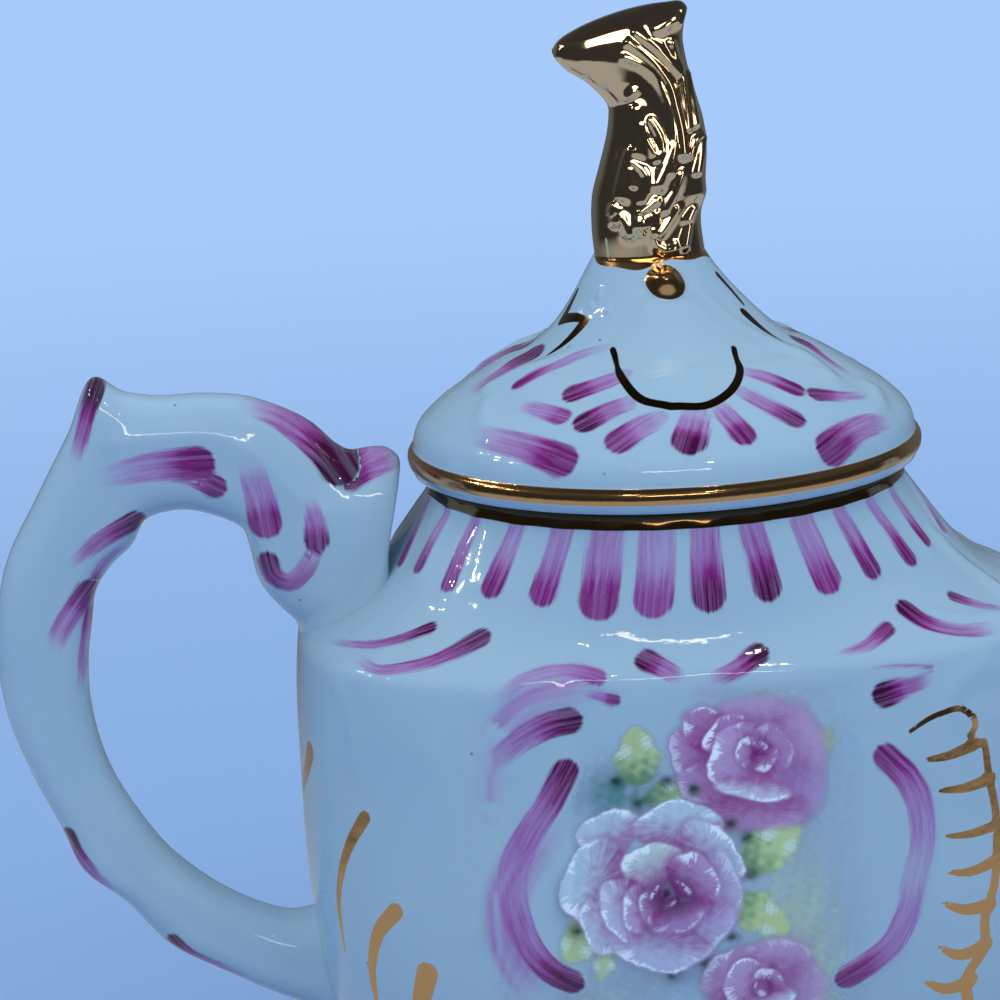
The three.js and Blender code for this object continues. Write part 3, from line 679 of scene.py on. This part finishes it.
def scroll_rings(stations, rows, around, squareness):
    """Rings of a scroll between two outlines: outer x, z, inner x, z and half depth at each station."""
    stations = np.array(stations)
    path = smooth_path(stations, np.linalg.norm(np.diff(stations, axis=0), axis=1).sum() / rows)
    turn = np.linspace(0, 2 * math.pi, around + 1)
    out = np.sign(np.cos(turn)) * np.abs(np.cos(turn)) ** (2 / squareness)
    front = np.sign(np.sin(turn)) * np.abs(np.sin(turn)) ** (2 / squareness)
    front[-1] = front[0]
    middle, half = (path[:, 0:2] + path[:, 2:4]) / 2, (path[:, 0:2] - path[:, 2:4]) / 2
    flat = middle[:, None] + half[:, None] * out[:, None]
    rings = np.stack([flat[..., 0], path[:, 4:] * front, flat[..., 1]], -1)
    ends = rings[:, :-1].mean(1, keepdims=True)[[0, -1]] + 0 * rings[[0, -1]]
    return np.concatenate([ends[:1], rings, ends[1:]])


def flat_place(points):
    """Points given as x and z, in the plane of the scroll."""
    return np.array([(x, 0.0, z) for x, z in points])


def paint_scroll(name, rings, ridges, strokes, swell=0.0):
    """A scroll with ridges on its skin, strokes on both of its faces and a swelling at its joints."""
    flat = rings * [1, 0, 1]
    facing = outward(rings)
    facing *= np.sign((facing * (rings - rings[:, :-1].mean(1, keepdims=True))).sum(-1).mean())
    straight = np.zeros_like(rings) + [0, -1, 0]
    raised = ridge_height(flat, straight, [(flat_place(points), *sizes) for points, *sizes in ridges])
    raised = raised + swell
    paint, bristle = brush_over(flat, straight, [(flat_place(points), *sizes) for points, *sizes in strokes])
    piece, order = cast_skin(name, rings + facing * raised)
    keep_layers(piece, order, paint=paint, bristle=bristle, gilt=np.full(len(paint), bare))
    close_skin()
    return piece


def swell_at_joint(rings):
    """How far the slip that lutes a scroll to the pot swells it close to the pot's wall, in millimetres."""
    slip_swelling, slip_reach = 0.6, 2.2
    *plan, _ = (np.interp(rings[..., 2], shell[:, 4], c) for c in shell.T)
    turn = np.arctan2(rings[..., 0], -rings[..., 1])
    gap = np.hypot(rings[..., 0], rings[..., 1]) - plan_radius(*plan, turn)
    return slip_swelling * np.clip(1 - gap / slip_reach, 0, 1)[..., None] ** 2


spout_outside = [
    (19.5, 40.0, 20.0, 13.5, 8.0),
    (22.4, 37.8, 27.6, 18.0, 7.0),
    (26.4, 37.3, 36.2, 26.2, 5.6),
    (31.0, 41.1, 40.7, 35.7, 4.5),
    (34.7, 46.0, 42.2, 42.8, 3.65),
    (38.1, 51.4, 43.5, 48.6, 3.05),
    (40.4, 54.9, 45.3, 52.2, 2.9),
]
spout_inside = [
    (41.3, 54.8, 44.9, 52.9, 1.9),
    (39.6, 51.0, 42.4, 49.4, 1.7),
    (36.2, 45.4, 40.6, 43.4, 2.2),
    (32.4, 40.4, 39.2, 36.6, 3.0),
]
outside = scroll_rings(spout_outside, rows=170, around=96, squareness=2.1)
inside = scroll_rings(spout_inside, rows=24, around=96, squareness=2.1)
spout_skin = np.concatenate([outside[:-1], inside[1:]])
spout_strokes = [
    ([(33.0, 42.0), (36.0, 46.5), (39.0, 51.0)], 1.5, 0.7, 0.9),
    ([(40.2, 36.5), (41.6, 41.5), (43.0, 46.5)], 1.5, 0.7, 0.95),
    ([(30.0, 31.0), (33.5, 34.5), (36.5, 39.5)], 2.2, 0.9, 0.75),
    ([(27.5, 27.5), (30.5, 28.5), (33.0, 30.5)], 1.8, 0.8, 0.85),
    ([(25.5, 34.5), (28.0, 35.5), (30.5, 38.0)], 1.4, 0.7, 0.9),
]
spout = paint_scroll("spout_glazed", spout_skin, [], spout_strokes, swell_at_joint(spout_skin))
spout.data.materials.append(painted)
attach(spout, "pot")
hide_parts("spout")

# Handle: a porcelain scroll cast in its own mould and luted to the shoulder and the belly, with a horn for
# the thumb, a ridge along its crest and a small volute at its root.
handle_stations = [
    (-18.5, 49.0, -20.2, 40.5, 3.3),
    (-18.0, 50.1, -20.9, 38.4, 4.1),
    (-18.9, 50.95, -23.2, 38.0, 4.2),
    (-20.0, 51.0, -24.8, 38.9, 4.0),
    (-21.2, 50.9, -26.0, 39.9, 3.8),
    (-22.15, 51.4, -27.1, 41.1, 3.6),
    (-23.7, 52.95, -28.0, 42.6, 3.4),
    (-25.6, 54.1, -28.4, 44.6, 3.25),
    (-28.2, 55.1, -28.9, 46.2, 3.15),
    (-30.5, 55.4, -30.2, 47.0, 3.1),
    (-34.5, 55.5, -33.5, 47.7, 3.1),
    (-36.3, 55.9, -35.3, 47.2, 3.0),
    (-38.1, 57.0, -36.2, 45.7, 2.8),
    (-40.2, 53.2, -37.8, 44.2, 2.9),
    (-42.6, 49.0, -39.0, 42.5, 3.0),
    (-45.0, 44.5, -39.5, 40.0, 3.0),
    (-46.0, 39.0, -39.9, 37.5, 3.0),
    (-45.7, 34.5, -39.95, 34.5, 3.0),
    (-44.3, 30.0, -39.2, 30.5, 3.0),
    (-42.4, 25.6, -37.5, 26.8, 3.0),
    (-41.4, 23.0, -35.5, 23.8, 3.0),
    (-38.6, 20.5, -32.8, 21.2, 3.0),
    (-35.8, 17.2, -30.3, 19.6, 3.0),
    (-32.0, 14.9, -28.0, 18.6, 3.1),
    (-27.5, 12.6, -25.0, 18.0, 3.5),
    (-20.0, 10.5, -20.0, 17.0, 4.2),
]
handle_ridges = [
    ([(-37.0, 52.9), (-33.5, 53.3), (-30.0, 53.0), (-27.0, 51.0), (-25.0, 48.5)], 1.3, 1.3, 0.14),
    ([(-26.8, 44.3), (-26.2, 43.3), (-25.1, 43.5), (-24.4, 44.8), (-23.8, 47.5)], 1.6, 1.6, 0.2),
]
handle_strokes = [
    ([(-39.8, 51.5), (-39.2, 53.2), (-38.6, 55.1), (-38.0, 56.5)], 1.5, 0.6, 1.15),
    ([(-28.6, 55.2), (-26.1, 54.3), (-24.1, 52.9), (-22.8, 51.6), (-22.1, 50.6)], 3.0, 1.0, 1.15),
    ([(-18.2, 50.8), (-19.4, 50.7), (-20.5, 50.4), (-21.5, 50.0)], 2.4, 1.5, 0.95, 0.15),
    ([(-38.3, 50.6), (-34.6, 51.3), (-31.6, 51.3)], 2.68, 1.2, 0.75),
    ([(-34.0, 50.8), (-32.0, 50.5), (-30.5, 49.7)], 1.87, 0.8, 0.8),
    ([(-28.1, 51.3), (-27.6, 49.1), (-27.3, 47.1)], 2.54, 1.61, 0.72),
    ([(-24.2, 48.6), (-23.9, 47.1), (-23.9, 45.7)], 1.9, 0.9, 0.95),
    ([(-23.9, 45.6), (-24.8, 43.8), (-25.9, 42.9), (-26.9, 43.3), (-27.2, 44.3)], 1.7, 1.2, 0.95),
    ([(-40.7, 44.7), (-38.7, 46.2), (-36.0, 47.5)], 1.75, 0.67, 1.0),
    ([(-36.4, 46.1), (-38.2, 44.8), (-39.3, 43.1)], 0.95, 0.68, 0.75),
    ([(-42.1, 38.9), (-41.0, 41.1), (-39.5, 42.9)], 1.9, 1.08, 0.9),
    ([(-40.6, 35.4), (-40.1, 38.8), (-39.5, 41.5)], 0.95, 0.54, 0.75),
    ([(-39.0, 21.6), (-40.4, 23.0), (-41.4, 24.4), (-42.0, 25.9)], 1.3, 0.45, 1.15),
    ([(-30.2, 15.0), (-32.5, 15.8), (-34.2, 16.7), (-35.4, 18.0)], 1.1, 0.4, 1.0),
]
handle_skin = scroll_rings(handle_stations, rows=420, around=110, squareness=2.6)
handle_swell = swell_at_joint(handle_skin)
handle = paint_scroll("handle_glazed", handle_skin, handle_ridges, handle_strokes, handle_swell)
handle.data.materials.append(painted)
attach(handle, "pot")
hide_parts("handle")

# Lid ring: the plain porcelain collar under the lid, thrown as a ring and luted to the lid before glazing. It
# drops into the neck and keeps the lid centred.
collar = [
    (11.95, 48.95), (11.95, 45.0), (12.2, 44.65), (13.4, 44.65),
    (13.65, 45.0), (13.65, 48.95), (11.95, 48.95),
]
lid_columns = 480
lid_turns = np.linspace(-math.pi / 2, 1.5 * math.pi, lid_columns + 1)


def turned(profile):
    """Rings of points for a piece turned on a wheel, from radius and height."""
    radius, height = np.array(profile)[:, :1], np.array(profile)[:, 1:]
    return np.stack([radius * np.sin(lid_turns), -radius * np.cos(lid_turns), height + 0 * lid_turns], -1)


lid_ring, order = cast_skin("lid_ring_glazed", turned(collar)[:, ::4])
close_skin()
bpy.ops.object.shade_smooth_by_angle(angle=math.radians(40))
lid_ring.data.materials.append(plain_glaze)
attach(lid_ring, "lid_ring")
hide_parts("lid_flange")

# Lid cover: a hollow porcelain dome with a swelling brim and a gilded edge. A drop is moulded on its front
# and back between two folds, with a gilded bead above it and a gold line round its foot. The lid's gold
# lines are painted dark: a painted reflection of the dark room that they face.
lid_outline = smooth_path([
    (17.15, 49.45), (17.34, 49.75), (17.42, 50.15), (17.38, 50.45), (17.22, 50.68), (17.04, 50.82),
    (17.0, 51.1), (16.75, 52.0), (15.6, 53.3), (13.8, 54.6), (12.7, 55.3), (11.4, 56.1), (10.3, 56.7),
    (9.0, 57.2), (8.3, 57.65), (7.25, 58.55), (6.1, 59.85), (4.55, 62.0), (3.75, 63.3),
], step=0.17)
lid_inside = [
    (0.0, 61.0), (2.2, 61.0), (4.5, 57.8), (7.5, 55.2), (10.5, 53.6),
    (11.9, 52.0), (11.9, 49.4), (12.4, 49.1), (16.7, 49.1), (17.05, 49.2),
]
lid = turned(np.vstack([lid_inside, lid_outline, [(2.0, 63.4), (0.0, 63.4)]]))
lid_facing = outward(lid)


def lid_place(points):
    """Points on the lid from turns in degrees, 0 at the front, and distances from the axis."""
    heights = np.interp([-r for _, r in points], -lid_outline[2:, 0], lid_outline[2:, 1])
    around = np.radians([turn for turn, _ in points])
    return np.array([(r * math.sin(a), -r * math.cos(a), z) for (_, r), a, z in zip(points, around, heights)])


lid_ridges = [
    ([(0.7, 6.4), (0.9, 8.5), (1.3, 11.2)], 6.6, 4.6, 0.45),
    ([(-14.2, 5.2), (-36.8, 7.5), (-59.3, 9.4), (-71.7, 12.4)], 1.7, 1.7, 0.28),
    ([(27.4, 5.2), (43.5, 7.2), (59.5, 9.6), (57.2, 12.6)], 1.7, 1.7, 0.28),
    ([(-66.0, 13.2), (-60.0, 14.6), (-52.0, 15.4)], 1.4, 1.4, 0.15),
    ([(70.0, 14.6), (62.0, 15.6), (52.0, 15.9)], 1.4, 1.4, 0.2),
    ([(5.2, 4.6), (6.0, 4.7)], 2.0, 2.0, 1.2),
    ([(-50.0, 5.0), (-49.0, 5.2)], 0.6, 0.5, 0.12),
    ([(-55.0, 5.6), (-52.0, 5.7)], 0.5, 0.5, 0.1),
    ([(-38.5, 5.8), (-37.0, 5.8)], 0.6, 0.6, 0.12),
    ([(-67.0, 5.9), (-64.0, 6.0)], 0.5, 0.5, 0.1),
    ([(-16.0, 4.6), (-14.0, 4.7)], 0.5, 0.5, 0.1),
    ([(-9.5, 6.0), (-6.5, 6.1)], 0.5, 0.5, 0.12),
    ([(15.5, 5.9), (19.5, 5.9)], 0.5, 0.5, 0.12),
]
lid_strokes = [
    ([(-81.5, 13.4), (-76.5, 11.5), (-77.5, 9.2)], 2.7, 1.2, 0.98),
    ([(-25.5, 7.5), (-47.8, 8.8), (-59.1, 11.6)], 1.32, 0.4, 0.75),
    ([(-51.8, 13.0), (-41.8, 13.3), (-34.4, 13.6)], 1.69, 0.91, 0.7),
    ([(-58.7, 15.7), (-41.3, 15.8), (-29.4, 16.4)], 2.59, 1.42, 0.8),
    ([(-19.7, 10.1), (-28.0, 11.0), (-34.3, 11.7)], 2.0, 1.1, 0.85, 0.2),
    ([(-15.9, 12.6), (-21.8, 13.2), (-26.1, 13.9)], 2.1, 1.1, 0.95, 0.2),
    ([(-6.8, 13.8), (-12.2, 14.5), (-16.0, 15.2)], 2.3, 1.2, 0.85, 0.2),
    ([(3.4, 13.8), (1.9, 14.6), (0.6, 15.3)], 2.6, 1.7, 0.92, 0.2),
    ([(10.4, 13.2), (12.4, 14.3), (13.8, 15.2)], 2.1, 1.0, 0.8, 0.2),
    ([(19.9, 12.2), (25.1, 13.5), (29.5, 14.7)], 1.9, 1.0, 0.9, 0.2),
    ([(25.7, 10.5), (32.9, 11.5), (37.9, 12.6)], 1.7, 0.9, 0.85, 0.2),
    ([(67.6, 13.4), (69.4, 11.5), (79.0, 9.3)], 1.5, 0.8, 1.0),
    ([(34.5, 7.4), (48.8, 9.4), (57.2, 11.9)], 0.6, 0.33, 0.35),
    ([(62.7, 14.7), (52.0, 14.1), (43.3, 13.4)], 1.58, 0.53, 0.9),
    ([(60.7, 16.5), (45.5, 16.2), (35.0, 16.7)], 2.75, 0.52, 0.85),
]
# Gold on the lid in the same way. The fourth number is how much of the bright gold colour is kept: it is low
# in the lines, which are painted dark as a painted reflection of a dark room.
lid_gold = [
    ([(-28.7, 7.8), (-18.8, 10.6), (-10.9, 12.4), (-3.1, 13.0)], 0.66, 0.42, 0.15),
    ([(30.7, 8.2), (23.0, 10.7), (15.2, 12.2), (6.6, 13.1), (-3.1, 13.0)], 0.66, 0.42, 0.15),
    ([(-84.0, 5.2), (-83.0, 5.9), (-80.5, 6.6)], 1.0, 0.5, 0.15),
    ([(-52.0, 6.3), (-66.0, 6.3), (-80.5, 6.6)], 0.95, 0.35, 0.15),
    ([(-64.1, 8.7), (-60.0, 7.5), (-54.8, 6.4)], 0.85, 0.25, 0.15),
    ([(66.2, 6.1), (68.1, 5.4), (66.6, 4.7)], 0.6, 0.35, 0.15),
    ([(62.5, 9.0), (60.7, 7.7), (58.6, 6.5)], 0.85, 0.25, 0.15),
    ([(5.2, 4.6), (6.0, 4.7)], 2.45, 2.45, 1),
]
on_outside = np.repeat(np.arange(len(lid)) >= len(lid_inside), lid_turns.size)
raised = ridge_height(lid, lid_facing, both_faces(lid_ridges, lid_place))
lid_skin = lid + lid_facing * raised * on_outside.reshape(raised.shape)
paint, bristle = brush_over(lid, lid_facing, both_faces(lid_strokes, lid_place))
paint[~on_outside, 0] = bare
# Gold lies in the lines and the bead, on the rolled edge, and on the crown up to a hand-cut rim.
gold_lines, _ = brush_over(lid, lid_facing, both_faces(lid_gold, lid_place))
# The gold of the lines is painted dark: a painted reflection of the dark room that they face.
lid_lustre = np.where(gold_lines[:, 0] > -0.4, gold_lines[:, 2], 1.0)
around, lid_height = np.tile(lid_turns, len(lid)), lid.reshape(-1, 3)[:, 2]
edge_foot, edge_top, edge_radius, crown_rim = 49.8, 50.85, 16.0, 63.0
on_edge = np.hypot(lid.reshape(-1, 3)[:, 0], lid.reshape(-1, 3)[:, 1]) > edge_radius
edge_gold = np.where(on_edge, np.minimum(edge_top - lid_height, lid_height - edge_foot), bare)
crown_gold = lid_height - crown_rim - 0.22 * np.sin(3 * around) - 0.1 * np.sin(7 * around)
gilt = np.maximum(np.maximum(gold_lines[:, 0], edge_gold), np.where(on_outside, crown_gold, bare))
# The crown leans a little towards the handle, where the finial stands off the middle.
lean_foot, lean_rise, crown_lean = 58.0, 5.0, 0.45
lid_skin[..., 0] -= crown_lean * step_up(lid_skin[..., 2], lean_foot, lean_foot + lean_rise)
lid_cover, order = cast_skin("lid_cover_glazed", lid_skin)
keep_layers(lid_cover, order, paint=paint, bristle=bristle, gilt=gilt, lustre=lid_lustre)
close_skin()
lid_cover.data.materials.append(painted)
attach(lid_cover, "lid")
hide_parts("lid_cover")

# Finial: a porcelain scroll with a beak and a horn, modelled with flutes, drops and knobs, stuck to the crown
# and gilded all over.
finial_stations = [
    (3.3, 63.1, -4.1, 63.1, 3.1),
    (3.1, 65.4, -4.25, 65.0, 3.2),
    (3.4, 67.5, -4.15, 67.2, 3.2),
    (3.65, 69.8, -3.6, 69.2, 3.0),
    (3.5, 72.2, -3.0, 71.3, 2.7),
    (2.9, 74.4, -2.8, 72.6, 2.5),
    (2.55, 76.0, -2.8, 73.2, 2.4),
    (2.35, 77.6, -3.05, 73.7, 2.4),
    (2.5, 79.0, -3.45, 74.2, 2.4),
    (2.4, 79.9, -3.85, 74.6, 2.4),
    (1.2, 79.95, -4.25, 75.0, 2.35),
    (-0.9, 79.7, -4.85, 75.4, 2.2),
    (-3.0, 79.15, -5.45, 75.8, 1.9),
    (-4.7, 78.5, -5.95, 76.3, 1.4),
    (-5.9, 77.8, -6.25, 76.7, 0.8),
    (-6.35, 77.25, -6.38, 77.05, 0.15),
]
# Flutes, drops and knobs, as x and z along each, its width at both ends and its height.
finial_ridges = [
    ([(-0.9, 78.2), (0.1, 77.4), (1.3, 76.0), (1.8, 75.4)], 0.77, 0.6, 0.33),
    ([(-1.4, 77.6), (-0.4, 76.7), (0.4, 75.8), (1.1, 74.6), (1.4, 73.3), (1.7, 71.7),
      (1.8, 70.2)], 0.84, 0.65, 0.35),
    ([(-1.7, 76.7), (-0.7, 76.2), (0.1, 75.5), (0.6, 74.4), (1.0, 73.1), (1.2, 71.5), (1.1, 70.2),
      (0.9, 69.0)], 0.74, 0.58, 0.31),
    ([(1.4, 77.4), (1.6, 76.4), (1.9, 75.7)], 0.65, 0.5, 0.28),
    ([(2.0, 75.1), (2.1, 73.5), (2.2, 71.8)], 0.69, 0.54, 0.3),
    ([(2.4, 75.2), (2.6, 73.7), (2.8, 72.0)], 0.65, 0.5, 0.28),
    ([(-1.2, 74.4), (-1.5, 74.1)], 0.74, 0.58, 0.24),
    ([(-1.1, 73.2), (-1.1, 71.8), (-1.2, 70.5)], 1.24, 0.97, 0.39),
    ([(-0.3, 72.5), (0.2, 71.5), (0.4, 70.5), (0.1, 69.9)], 0.65, 0.5, 0.31),
    ([(-0.7, 72.2), (-0.5, 71.1), (-0.1, 70.3)], 0.65, 0.5, 0.3),
    ([(1.1, 70.6), (0.7, 69.5), (0.1, 68.3)], 1.16, 0.9, 0.39),
    ([(-1.6, 70.5), (-2.0, 69.2), (-2.4, 67.6)], 0.99, 0.77, 0.38),
    ([(-1.4, 69.7), (-0.8, 69.1), (-0.6, 68.2), (-1.0, 67.3)], 0.69, 0.54, 0.31),
    ([(-1.6, 69.3), (-1.6, 68.3)], 0.57, 0.44, 0.28),
    ([(-2.8, 66.9), (-2.8, 66.6)], 0.92, 0.71, 0.39),
    ([(-2.9, 66.3), (-2.8, 65.9)], 0.72, 0.56, 0.35),
    ([(-2.4, 66.2), (-2.2, 65.7), (-2.0, 65.1)], 0.84, 0.65, 0.35),
    ([(-1.3, 65.9), (-1.3, 65.6)], 1.22, 0.95, 0.43),
    ([(-0.7, 66.2), (-0.7, 65.6)], 0.54, 0.42, 0.28),
    ([(-1.2, 66.5), (-0.7, 66.8), (-0.2, 67.2)], 0.72, 0.56, 0.33),
    ([(-0.2, 66.4), (-0.1, 64.9), (0.5, 65.6), (1.2, 66.6)], 0.69, 0.54, 0.33),
    ([(-0.5, 65.3), (-0.3, 64.3), (0.4, 63.8), (0.9, 63.9)], 0.65, 0.5, 0.31),
    ([(2.4, 66.4), (2.0, 65.7)], 0.69, 0.54, 0.31),
    ([(2.0, 65.3), (1.7, 64.0)], 0.59, 0.46, 0.28),
    ([(2.3, 70.0), (2.7, 70.9), (3.2, 71.2), (3.1, 70.0), (2.8, 68.8)], 0.59, 0.46, 0.28),
    ([(0.4, 78.4), (1.6, 78.9)], 0.99, 0.77, 0.31),
    ([(2.0, 78.6), (2.4, 79.5)], 0.59, 0.46, 0.24),
    ([(2.9, 67.5), (2.9, 67.4)], 1.63, 1.27, 0.24),
    ([(1.6, 68.8), (1.2, 67.8), (0.5, 66.6)], 0.94, 0.73, 0.28),
]
finial_skin = scroll_rings(finial_stations, rows=400, around=200, squareness=2.0)
# The beak is round on top and flat underneath, with an edge between.
finial_x, depth, finial_z = (finial_skin[..., axis] for axis in range(3))
share = np.abs(depth) / np.maximum(np.abs(depth).max(1, keepdims=True), 0.01)
beak_root, beak_foot, beak_edge, beak_flatness = 1.6, 73.5, 77.3, 0.45
beak = np.clip((beak_root - finial_x) / 3, 0, 1) * np.clip((finial_z - beak_foot) / 1.5, 0, 1)
beak *= np.clip((beak_edge - 0.12 * finial_x - finial_z) / 1.2, 0, 1)
finial_skin[..., 1] *= np.maximum(share, 0.03) ** (-beak_flatness * beak)
finial = paint_scroll("finial_gilded", finial_skin, finial_ridges, [])
# Bright gold, fired on to the glaze and burnished: a mirror that shows the dark room between its lights, a
# little dulled by wear in clouds 3 mm wide.
gold, gold_shader = new_finish("bright_gold_on_glaze")
spot = add_node(gold, "ShaderNodeTexCoord")["Object"]
wear = add_node(gold, "ShaderNodeTexNoise", {"Vector": spot, "Scale": 350.0, "Detail": 3.0})["Fac"]
worn_gloss = add_node(gold, "ShaderNodeMapRange", [wear, 0.3, 0.7, 0.05, 0.11])["Result"]
worn_tone = {0: wear, "A": "#e6cba2", "B": "#f1dab8"}
worn_tone = add_node(gold, "ShaderNodeMix", worn_tone, data_type="RGBA")["Result"]
set_inputs(gold_shader, {"Base Color": worn_tone, "Metallic": 1.0, "Roughness": worn_gloss})
finial.data.materials.append(gold)
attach(finial, "lid")
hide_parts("finial")

# Studio: a sheet of pale blue paper and soft light from above and the front. Small lamps make the glints on
# the glaze, and cards that light the finial alone stand in for the room that its gold mirrors.
bpy.ops.object.select_all(action="DESELECT")
bpy.ops.mesh.primitive_circle_add(vertices=96, radius=4.0, fill_type="NGON", location=(0, 0, 0))
floor = bpy.context.object
floor.name = "floor"
# Paper: matt pale blue, painted darker close to the pot as painted shade round it.
paper, paper_shader = new_finish("pale_blue_paper")
spot = add_node(paper, "ShaderNodeTexCoord")["Object"]
away = add_node(paper, "ShaderNodeVectorMath", [spot], operation="LENGTH")["Value"]
away = add_node(paper, "ShaderNodeMapRange", [away, 0.02, 0.5], **smooth)["Result"]
paper_with_painted_shade = {0: away, "A": "#80a4d1", "B": "#a8c8ee"}
paper_with_painted_shade = add_node(paper, "ShaderNodeMix", paper_with_painted_shade, data_type="RGBA")["Result"]
set_inputs(paper_shader, {"Base Color": paper_with_painted_shade, "Roughness": 0.6})
floor.data.materials.append(paper)
floor.visible_glossy = False

# A bright ring above the horizon lights the pot softly from all sides.
world = bpy.data.worlds.new("studio")
bpy.context.scene.world = world
world.use_nodes = True
direction = add_node(world, "ShaderNodeTexCoord")["Generated"]
direction = add_node(world, "ShaderNodeSeparateXYZ", [direction])
back, up = direction["Y"], direction["Z"]
rise = add_node(world, "ShaderNodeMapRange", [up, 0.5, 0.58, 0.05, 4.5], **smooth)["Result"]
sky = add_node(world, "ShaderNodeMapRange", [up, 0.68, 0.76, rise, 0.6], **smooth)["Result"]
# What the glaze and the gold mirror: a dark room in front, the pale backdrop behind and the paper below.
dark_room, backdrop, paper_below = 0.045, 0.16, 0.55
behind = add_node(world, "ShaderNodeMapRange", [back, 0.35, 0.75, dark_room, backdrop], **smooth)["Result"]
room = add_node(world, "ShaderNodeMapRange", [up, 0.2, 0.5, behind, dark_room], **smooth)["Result"]
room = add_node(world, "ShaderNodeMapRange", [up, -0.37, -0.22, paper_below, room], **smooth)["Result"]
in_mirror = add_node(world, "ShaderNodeLightPath")["Is Glossy Ray"]
level = add_node(world, "ShaderNodeMix", {0: in_mirror, "A": sky, "B": room})["Result"]
set_inputs(world.node_tree.nodes["Background"], {"Color": "#dfe9f7", "Strength": level})

# Lamps in metres and watts: name, place, width, height and power. They all point at the middle of the pot.
pot_middle = Vector((0, 0, 0.045))
gilded = bpy.data.collections.new("gilded")
gilded.objects.link(finial)
for name, place, width, height, power in (
    ("window", (-0.30, -0.42, 0.42), 0.20, 0.20, 0.5),
    ("fill", (0.36, -0.54, 0.18), 0.30, 0.30, 0.58),
    ("strip", (-0.01, -0.52, 0.36), 0.30, 0.02, 0.28),
    ("spot_left", (-0.16, -0.36, 0.46), 0.012, 0.012, 0.06),
    ("spot_right", (0.12, -0.34, 0.48), 0.012, 0.012, 0.06),
    ("spot_side_low", (-0.45, 0.06, 0.33), 0.012, 0.012, 0.08),
    ("spot_side_high", (-0.43, 0.10, 0.40), 0.012, 0.012, 0.08),
    ("spot_side_near", (-0.46, -0.03, 0.37), 0.012, 0.012, 0.08),
    ("spot_side_far", (-0.40, 0.17, 0.36), 0.012, 0.012, 0.08),
    ("front_card", (-0.065, -0.47, 0.43), 0.60, 0.42, 3.2),
    ("right_card", (0.42, -0.20, 0.34), 0.16, 0.24, 0.48),
    ("left_card", (-0.45, 0.04, 0.30), 0.05, 0.20, 0.1),
    ("low_card", (0.38, -0.32, 0.10), 0.08, 0.16, 0.16),
):
    bpy.ops.object.light_add(type="AREA", location=place)
    lamp = bpy.context.object
    lamp.name = name
    lamp.data.shape = "RECTANGLE"
    lamp.data.size, lamp.data.size_y = width, height
    lamp.data.energy = power
    lamp.data.color = linear("#fff1df")[:3]
    lamp.visible_glossy = name not in ("window", "fill")
    lamp.visible_diffuse = not lamp.visible_glossy
    if name.endswith("card"):
        lamp.light_linking.receiver_collection = gilded
    lamp.rotation_euler = (pot_middle - lamp.location).to_track_quat("-Z", "Y").to_euler()

# The camera stands where the photograph was taken from.
focal_pixels, image_pixels, sensor = 3823.5, 1000, 36.0
camera_place = (-0.0244, -0.2530, 0.1049)
yaw, pitch, roll = math.radians(2.96), math.radians(-12.9), math.radians(2.9)
camera_data = bpy.data.cameras.new("view")
camera = bpy.data.objects.new("view", camera_data)
bpy.context.scene.collection.objects.link(camera)
camera_data.sensor_width = sensor
camera_data.lens = focal_pixels / image_pixels * sensor
camera_data.clip_start, camera_data.clip_end = 0.01, 20.0
camera.matrix_world = (
    Matrix.Translation(camera_place)
    @ Matrix.Rotation(-yaw, 4, "Z")
    @ Matrix.Rotation(math.pi / 2 + pitch, 4, "X")
    @ Matrix.Rotation(-roll, 4, "Z")
)
bpy.context.scene.camera = camera
bpy.context.scene.view_settings.view_transform = "Standard"
